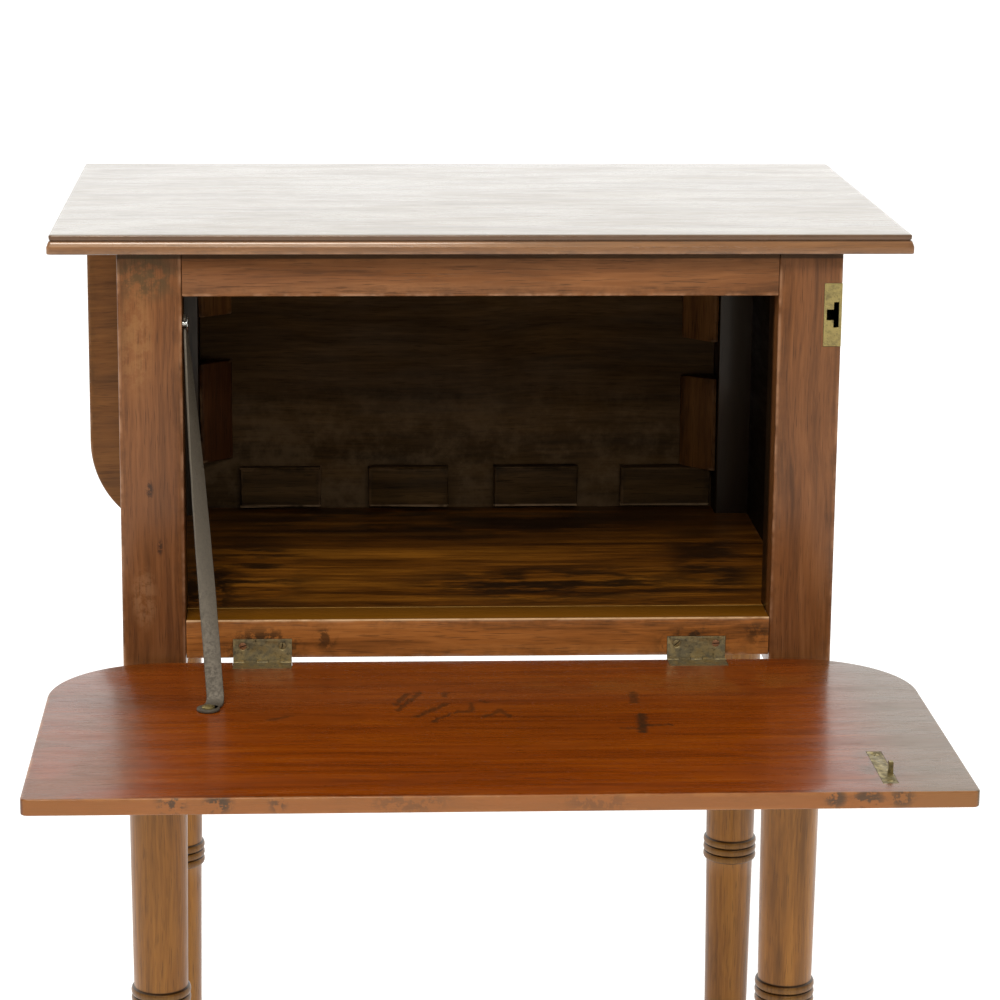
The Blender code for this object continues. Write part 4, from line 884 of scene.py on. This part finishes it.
def dusty(place, own):
    """Grey dust in the lower half of the back."""
    return axes_of(place)[2].fade(0.60, 0.47) * cloud(own, 40.0, 5.0, 0.7).fade(0.38, 0.68) * 0.6


dust = {"mask": dusty, "colour": (0.160, 0.098, 0.046)}
dress("back_panel", wood("back_wood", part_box("back_panel"), 0, **BACK_TONES, rough=0.72, pores=0.5,
                         patina=0.5, edge_wear=0.1, spots=(dust,)))


def floor_stain(centre, reach, strength, size):
    """A black stain drawn out along the floor's grain."""
    def mask(place, own):
        streaky = cloud(stretch(own, (0.30, 1.0, 1.0)), size, 5.0, 0.68).fade(0.40, 0.56)
        return local_spot(place, centre, reach, 0.3) * streaky * strength
    return {"mask": mask, "colour": (0.012, 0.005, 0.002)}


floor_low, floor_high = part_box("floor_board")
floor_marks = (
    floor_stain((0.06, 0.06, floor_high.z), (0.16, 0.075, 0.02), 0.95, 60.0),
    floor_stain((0.00, 0.27, floor_high.z), (0.30, 0.10, 0.02), 0.9, 30.0),
    floor_stain((-0.17, 0.10, floor_high.z), (0.07, 0.16, 0.02), 0.9, 45.0),
    floor_stain((0.19, 0.12, floor_high.z), (0.05, 0.16, 0.02), 0.9, 45.0),
    dab((-0.205, 0.05, floor_high.z), (0.035, 0.12, 0.02), (0.010, 0.004, 0.001), 0.9, 0.3, 60.0),
    # painted highlight along the floor board's front arris
    arris((1, 2), (floor_low.y, floor_high.z), 1.8 * MM, (0.62, 0.36, 0.09), 0.8),
)
dress("floor_board", wood("floor_wood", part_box("floor_board"), 0, **FLOOR_TONES, rough=0.42, coat=0.25,
                          coat_rough=0.3, pores=0.5, patina=0.5, edge_wear=0.2, streaks=1.5,
                          spots=floor_marks))

BLOCKS = [name for name in NODES if "block" in name]
for node in BLOCKS:
    lying = "rear_glue" in node or "top_" in node
    block = eased_copy("cut_" + node, node, 1.1 * MM, 2, jitter=0.9 * MM)
    tones = BACK_TONES
    if "corner" in node:
        tones = RED_TONES if node == "corner_block_lower_left" else BLOCK_TONES
    low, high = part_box(node)
    # painted light: a pale line along each block's lower front arris, standing in for light through the gap
    # under it
    lit_lower_arris = arris((1, 2), (low.y, low.z), 2.2 * MM, (0.40, 0.26, 0.14),
                        0.8 if "rear_glue" in node else 0.2)
    block_wood = wood(node + "_wood", (low, high), 0 if lying else 2, **tones, rough=0.66, pores=0.6,
                      patina=0.6, edge_wear=0.35 if lying else 0.8, edge_colour=(0.20, 0.11, 0.05),
                      dirt=0.8, dirt_reach=0.006, spots=(lit_lower_arris,))
    settle(block, "carcass", block_wood, node, slot="glue_block_wood")
for node in ("floor_ledger_left", "floor_ledger_right"):
    dress(node, wood(node + "_wood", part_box(node), 1, **BLOCK_TONES, rough=0.7, pores=0.6, patina=0.4))

BODIES = frame["record"]["behaviour"]["bodies"]
BODY_OF = {node: body for body, nodes in BODIES.items() for node in nodes}
for node in [name for name in NODES if "hinge" in name and "plate" in name]:
    colours = IRON if node.startswith("leaf") else BRASS
    plate = eased_copy("eased_" + node, node, 0.22 * MM, 2, smooth_angle=50.0)
    skin = metal(node + "_skin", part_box(node), **colours, rough=0.42, cover=0.85, rub=0.5)
    settle(plate, BODY_OF[node], skin, node, slot="dark_iron" if node.startswith("leaf") else "hinge_brass")
for node in ("lock_plate", "catch_plate"):
    plate = eased_copy("eased_" + node, node, 0.12 * MM, 1)
    cover = 0.6 if node == "lock_plate" else 0.95
    skin = metal(node + "_skin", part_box(node), **RUBBED_BRASS, rough=0.36, cover=cover, rub=0.8)
    settle(plate, BODY_OF[node], skin, node, slot="lock_brass")
dress("lock_bolt", metal("lock_bolt_steel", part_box("lock_bolt"), **STEEL, rough=0.3, cover=0.35))
for node in [name for name in NODES if "pin" in name] + ["lock_case", "prop_bracket", "leaf_prop"]:
    dress(node, metal(node + "_iron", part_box(node), **IRON, rough=0.5))
print("box dressed")


# %% [markdown]
# ## The stay
# The open flap hangs on one iron strap. It lies flat on the flap under a screw, bends up,
# and makes a slow quarter turn on the way, so that its top lies flat to the leg, where a
# notch hooks over a peg. A smith twists such a strap cold; here its section turns as the
# rings climb.

# %% Twisted strap
STRAP_WIDTH = 12.2 * MM
STRAP_THICK = 1.8 * MM
STRAP_CORNER = 0.45 * MM
STAY_FOOT_RADIUS = 8.8 * MM
stay_low, stay_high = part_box("flap_stay")
peg_low, peg_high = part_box("stay_peg")
foot = Vector((stay_high.x - STAY_FOOT_RADIUS, stay_low.y + STAY_FOOT_RADIUS, stay_low.z + STRAP_THICK / 2))
peg = Vector((stay_low.x + 1.5 * MM, (peg_low.y + peg_high.y) / 2, (peg_low.z + peg_high.z) / 2))
LEAN = Vector((5.0 / 13, 1, 0))          # the foot of the strap is bent a little towards the middle
knee = foot + LEAN * 13 * MM
climb = (peg - knee).normalized()


def strap_path():
    """Points from the foot, round the knee, up to just past the peg."""
    points = [foot + LEAN * distance * MM for distance in (0, 3, 6)]
    start, end = knee - LEAN * 5 * MM, knee + climb * 7 * MM
    for step in range(9):
        share = step / 8
        points.append(start.lerp(knee, share).lerp(knee.lerp(end, share), share))
    finish = peg + climb * 7.0 * MM
    count = 64
    for step in range(1, count + 1):
        points.append(end.lerp(finish, step / count))
    return points


def strap_rings():
    points = strap_path()
    total = (points[-1] - points[11]).length
    rings = []
    for number, point in enumerate(points):
        ahead = points[min(number + 1, len(points) - 1)]
        behind = points[max(number - 1, 0)]
        along = (ahead - behind).normalized()
        across = (Vector((1, 0, 0)) - along * along.x).normalized()
        face = along.cross(across)
        share = max(0.0, min(1.0, (point - points[11]).length / total)) if number > 11 else 0.0
        turn = math.radians(90) * share ** 1.35
        wide = across * math.cos(turn) + face * math.sin(turn)
        thick = face * math.cos(turn) - across * math.sin(turn)
        left = (points[-1] - point).length
        rounding = math.sqrt(max(0.02, 1 - (1 - min(1.0, left / (6.5 * MM))) ** 2))
        half = STRAP_WIDTH / 2 * rounding
        wander = field.noise(point * 60.0) * 0.25 * MM
        ring = []
        for corner_x, corner_y, start in ((1, 1, 0), (-1, 1, 90), (-1, -1, 180), (1, -1, 270)):
            for step in range(4):
                angle = math.radians(start + step * 30)
                over = corner_x * (half - STRAP_CORNER) + STRAP_CORNER * math.cos(angle) + wander
                out = corner_y * (STRAP_THICK / 2 - STRAP_CORNER) + STRAP_CORNER * math.sin(angle)
                ring.append(point + wide * over + thick * out)
        rings.append(ring)
    return rings


def disc_rings(middle, radius, low, high, ease, sides=48):
    """Rings of a flat disc with eased rims, standing on Z."""
    rings = []
    for inset, height in ((ease, low), (ease * 0.3, low + ease * 0.3), (0, low + ease), (0, high - ease),
                          (ease * 0.3, high - ease * 0.3), (ease, high)):
        rings.append([(middle.x + (radius - inset) * math.cos(math.tau * number / sides),
                       middle.y + (radius - inset) * math.sin(math.tau * number / sides), height)
                      for number in range(sides)])
    return rings


stay = joined_rings("twisted_stay", strap_rings(), 50.0)
notch_low = peg + Vector((-4 * MM, -14 * MM, -3.1 * MM))
notch_high = peg + Vector((4 * MM, 3.0 * MM, 3.1 * MM))
recess(stay, [(notch_low, notch_high)])
stay_finish = metal("stay_iron", (stay_low, stay_high), **STAY_IRON, rough=0.50, cover=0.7, pits=0.2,
                    scale=2.6, rub=0.0, scratches=0.2, purity=0.55)
settle(stay, "flap_stay", stay_finish, "flap_stay", slot="dark_iron")
foot_disc = joined_rings("stay_foot", disc_rings(foot, STAY_FOOT_RADIUS - 0.7 * MM, stay_low.z,
                                                 stay_low.z + STRAP_THICK, 0.4 * MM))
settle(foot_disc, "flap_stay", stay_finish, slot="dark_iron")
middle_y, middle_z = (peg_low.y + peg_high.y) / 2, (peg_low.z + peg_high.z) / 2
peg_outline = ((peg_low.x, 0.5), (peg_low.x, 2.3), (peg_low.x + 0.3 * MM, 2.6), (peg_high.x - 1.5 * MM, 2.6),
               (peg_high.x - 1.4 * MM, 5.8), (peg_high.x - 1.15 * MM, 6.2), (peg_high.x - 0.8 * MM, 6.1),
               (peg_high.x - 0.35 * MM, 5.0), (peg_high.x - 0.1 * MM, 3.2), (peg_high.x, 0.4))
peg_rings = [[(place_x, middle_y + radius * MM * math.cos(math.tau * number / 40),
               middle_z + radius * MM * math.sin(math.tau * number / 40)) for number in range(40)]
             for place_x, radius in peg_outline]
headed_peg = joined_rings("headed_peg", peg_rings, 40.0)
peg_finish = metal("peg_steel", (peg_low, peg_high), **STEEL, rough=0.25, cover=0.15, pits=0.2)
settle(headed_peg, "carcass", peg_finish, "stay_peg", slot="bright_steel")
print("stay rings:", len(strap_path()))


# %% [markdown]
# ## Slotted screws
# Old screws have slightly domed heads, a narrow slot cut by hand, and every slot stops at
# its own angle. One head is turned and slotted flat, then set in place.

# %% Screw heads
def screw_head(name, centre, outward, radius, slot_turn, rise=0.30, colours=BRASS, grime=0.6):
    """A slotted head at centre, facing outward."""
    outline = ((1.0, -0.7), (1.0, 0.0), (0.97, 0.10), (0.85, 0.35), (0.62, 0.68), (0.35, 0.9), (0.04, 1.0))
    rings = []
    for share, height in outline:
        rings.append([(radius * share * math.cos(math.tau * number / 40),
                       radius * share * math.sin(math.tau * number / 40), height * rise * MM)
                      for number in range(40)])
    head = joined_rings(name, rings, 40.0)
    slot_half = 0.36 * MM
    recess(head, [((-2 * radius, -slot_half, -0.25 * MM), (2 * radius, slot_half, 2 * MM))])
    facing = Vector((0, 0, 1)).rotation_difference(Vector(outward)).to_matrix().to_4x4()
    spun = Matrix.Rotation(math.radians(slot_turn), 4, "Z")
    head.data.transform(Matrix.Translation(centre) @ facing @ spun)
    reach = Vector((radius, radius, radius))
    made = metal(name + "_skin", (Vector(centre) - reach, Vector(centre) + reach), **colours,
                 cover=grime, rub=0.0, scale=2.0)
    return head, made


PLATE_SCREW_RADIUS = 2.7 * MM
SCREW_INSET = 7 * MM
RED_BRASS = {"bright": (0.40, 0.20, 0.10), "dull": (0.20, 0.085, 0.050), "grime": (0.03, 0.015, 0.010)}
rail_looks = {"rail_screw_left_1": (18, RED_BRASS), "rail_screw_left_2": (80, BRASS),
              "rail_screw_right_1": (40, BRASS), "rail_screw_right_2": (4, RED_BRASS)}
for node, (slot_turn, colours) in rail_looks.items():
    low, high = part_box(node)
    middle = (low + high) / 2
    head, skin = screw_head("head_" + node, (middle.x, low.y + 0.15 * MM, middle.z), (0, -1, 0),
                            2.9 * MM, slot_turn, colours=colours)
    settle(head, "carcass", skin, node, slot="hinge_brass")
for node, slot_turn in (("catch_screw_1", 25), ("catch_screw_2", 70)):
    low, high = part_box(node)
    middle = (low + high) / 2
    head, skin = screw_head("head_" + node, (middle.x, middle.y, high.z - 0.05 * MM), (0, 0, 1),
                            PLATE_SCREW_RADIUS, slot_turn, colours=RUBBED_BRASS)
    settle(head, "flap", skin, node, slot="lock_brass")
low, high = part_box("stay_foot_screw")
middle = (low + high) / 2
spot = (middle.x, middle.y, stay_low.z + STRAP_THICK + 0.75 * MM)
head, skin = screw_head("head_stay_foot_screw", spot, (0, 0, 1), 4.6 * MM, 12, rise=1.1,
                        colours=RUBBED_BRASS)
settle(head, "flap", skin, "stay_foot_screw", slot="lock_brass")
for side in ("left", "right"):
    low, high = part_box(f"flap_hinge_{side}_flap_plate")
    for number, centre_x in ((1, low.x + SCREW_INSET), (2, high.x - SCREW_INSET)):
        spot = (centre_x, low.y + 6 * MM, flap_high.z - 0.1 * MM)
        head, skin = screw_head(f"flap_screw_{side}_{number}", spot, (0, 0, 1), PLATE_SCREW_RADIUS,
                                30 + 47 * number)
        settle(head, "flap", skin, slot="hinge_brass")
    low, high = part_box(f"leaf_hinge_{side}_leaf_plate")
    for number, centre_x in ((1, low.x + SCREW_INSET), (2, high.x - SCREW_INSET)):
        spot = (centre_x, leaf_low.y + 0.1 * MM, low.z + 8 * MM)
        head, skin = screw_head(f"leaf_screw_{side}_{number}", spot, (0, -1, 0), PLATE_SCREW_RADIUS,
                                10 + 60 * number, colours=IRON)
        settle(head, "rear_leaf", skin, slot="dark_iron")
print("screws set")


# %% [markdown]
# ## Floor, light and camera
# A plain pale floor runs out of sight, and the light is a white tent with one large soft
# lamp in front and above, as for a catalogue. The camera is a long lens a little left of
# the middle and above the top, so that the top is seen at a slant.

# %% Set the stage
world = bpy.data.worlds.new("white tent")
bpy.context.scene.world = world
world.use_nodes = True
sky = Wire(world.node_tree)
toward = sky.node("ShaderNodeTexCoord", {}, {}, out="Generated")
_, backward, upward = axes_of(toward)
brightness = backward.fade(-0.15, 0.75) * 1.30 + upward.fade(-0.1, 0.9) * 0.55 + 0.22
sky.tree.links.new(brightness.socket, sky.tree.nodes["Background"].inputs["Strength"])
sky.tree.nodes["Background"].inputs["Color"].default_value = (1.0, 0.995, 0.985, 1.0)

floor_shape = bmesh.new()
bmesh.ops.create_grid(floor_shape, x_segments=1, y_segments=1, size=30.0)
floor = finish_mesh("pale_floor", floor_shape)
paper, _, paper_shader = start_material("pale_paper")
connect(paper_shader, "Base Color", (0.80, 0.80, 0.79, 1.0))
connect(paper_shader, "Roughness", 0.9)
connect(paper_shader, "Specular IOR Level", 0.1)
connect(paper_shader, "Emission Color", (1.0, 1.0, 1.0, 1.0))
connect(paper_shader, "Emission Strength", 0.40)
floor.data.materials.append(paper)


def lamp(name, place, target, size, power, colour=(1, 1, 1)):
    light = bpy.data.lights.new(name, "AREA")
    light.shape = "RECTANGLE"
    light.size, light.size_y = size
    light.energy = power
    light.color = colour
    holder = bpy.data.objects.new(name, light)
    bpy.context.scene.collection.objects.link(holder)
    holder.location = place
    holder.rotation_mode = "QUATERNION"
    holder.rotation_quaternion = (Vector(place) - Vector(target)).to_track_quat("Z", "Y")
    return holder


lamp("front_soft", (-0.5, -2.1, 2.75), (0, 0, 0.5), (1.3, 0.8), 58, (1.0, 0.97, 0.93))
lamp("edge_strip", (0.2, -2.4, 1.69), (0, 0, 0.7), (1.3, 0.10), 8)

camera_data = bpy.data.cameras.new("camera")
camera = bpy.data.objects.new("camera", camera_data)
bpy.context.scene.collection.objects.link(camera)
bpy.context.scene.camera = camera
CAMERA_PLACE = (-0.1223, -2.2482, 1.0833)
YAW, PITCH, ROLL = 0.048, -0.2207, 0.0068
forward = Vector((math.sin(YAW) * math.cos(PITCH), math.cos(YAW) * math.cos(PITCH), math.sin(PITCH)))
right = Vector((math.cos(YAW), -math.sin(YAW), 0))
up = right.cross(forward)
right, up = (right * math.cos(ROLL) + up * math.sin(ROLL), up * math.cos(ROLL) - right * math.sin(ROLL))
facing = Matrix((right, up, -forward)).transposed().to_4x4()
camera.matrix_world = Matrix.Translation(CAMERA_PLACE) @ facing
camera_data.sensor_width = 36.0
camera_data.lens = 112.56
camera_data.shift_x = 0.0417
camera_data.shift_y = -0.0589
bpy.context.scene.view_settings.view_transform = "Standard"
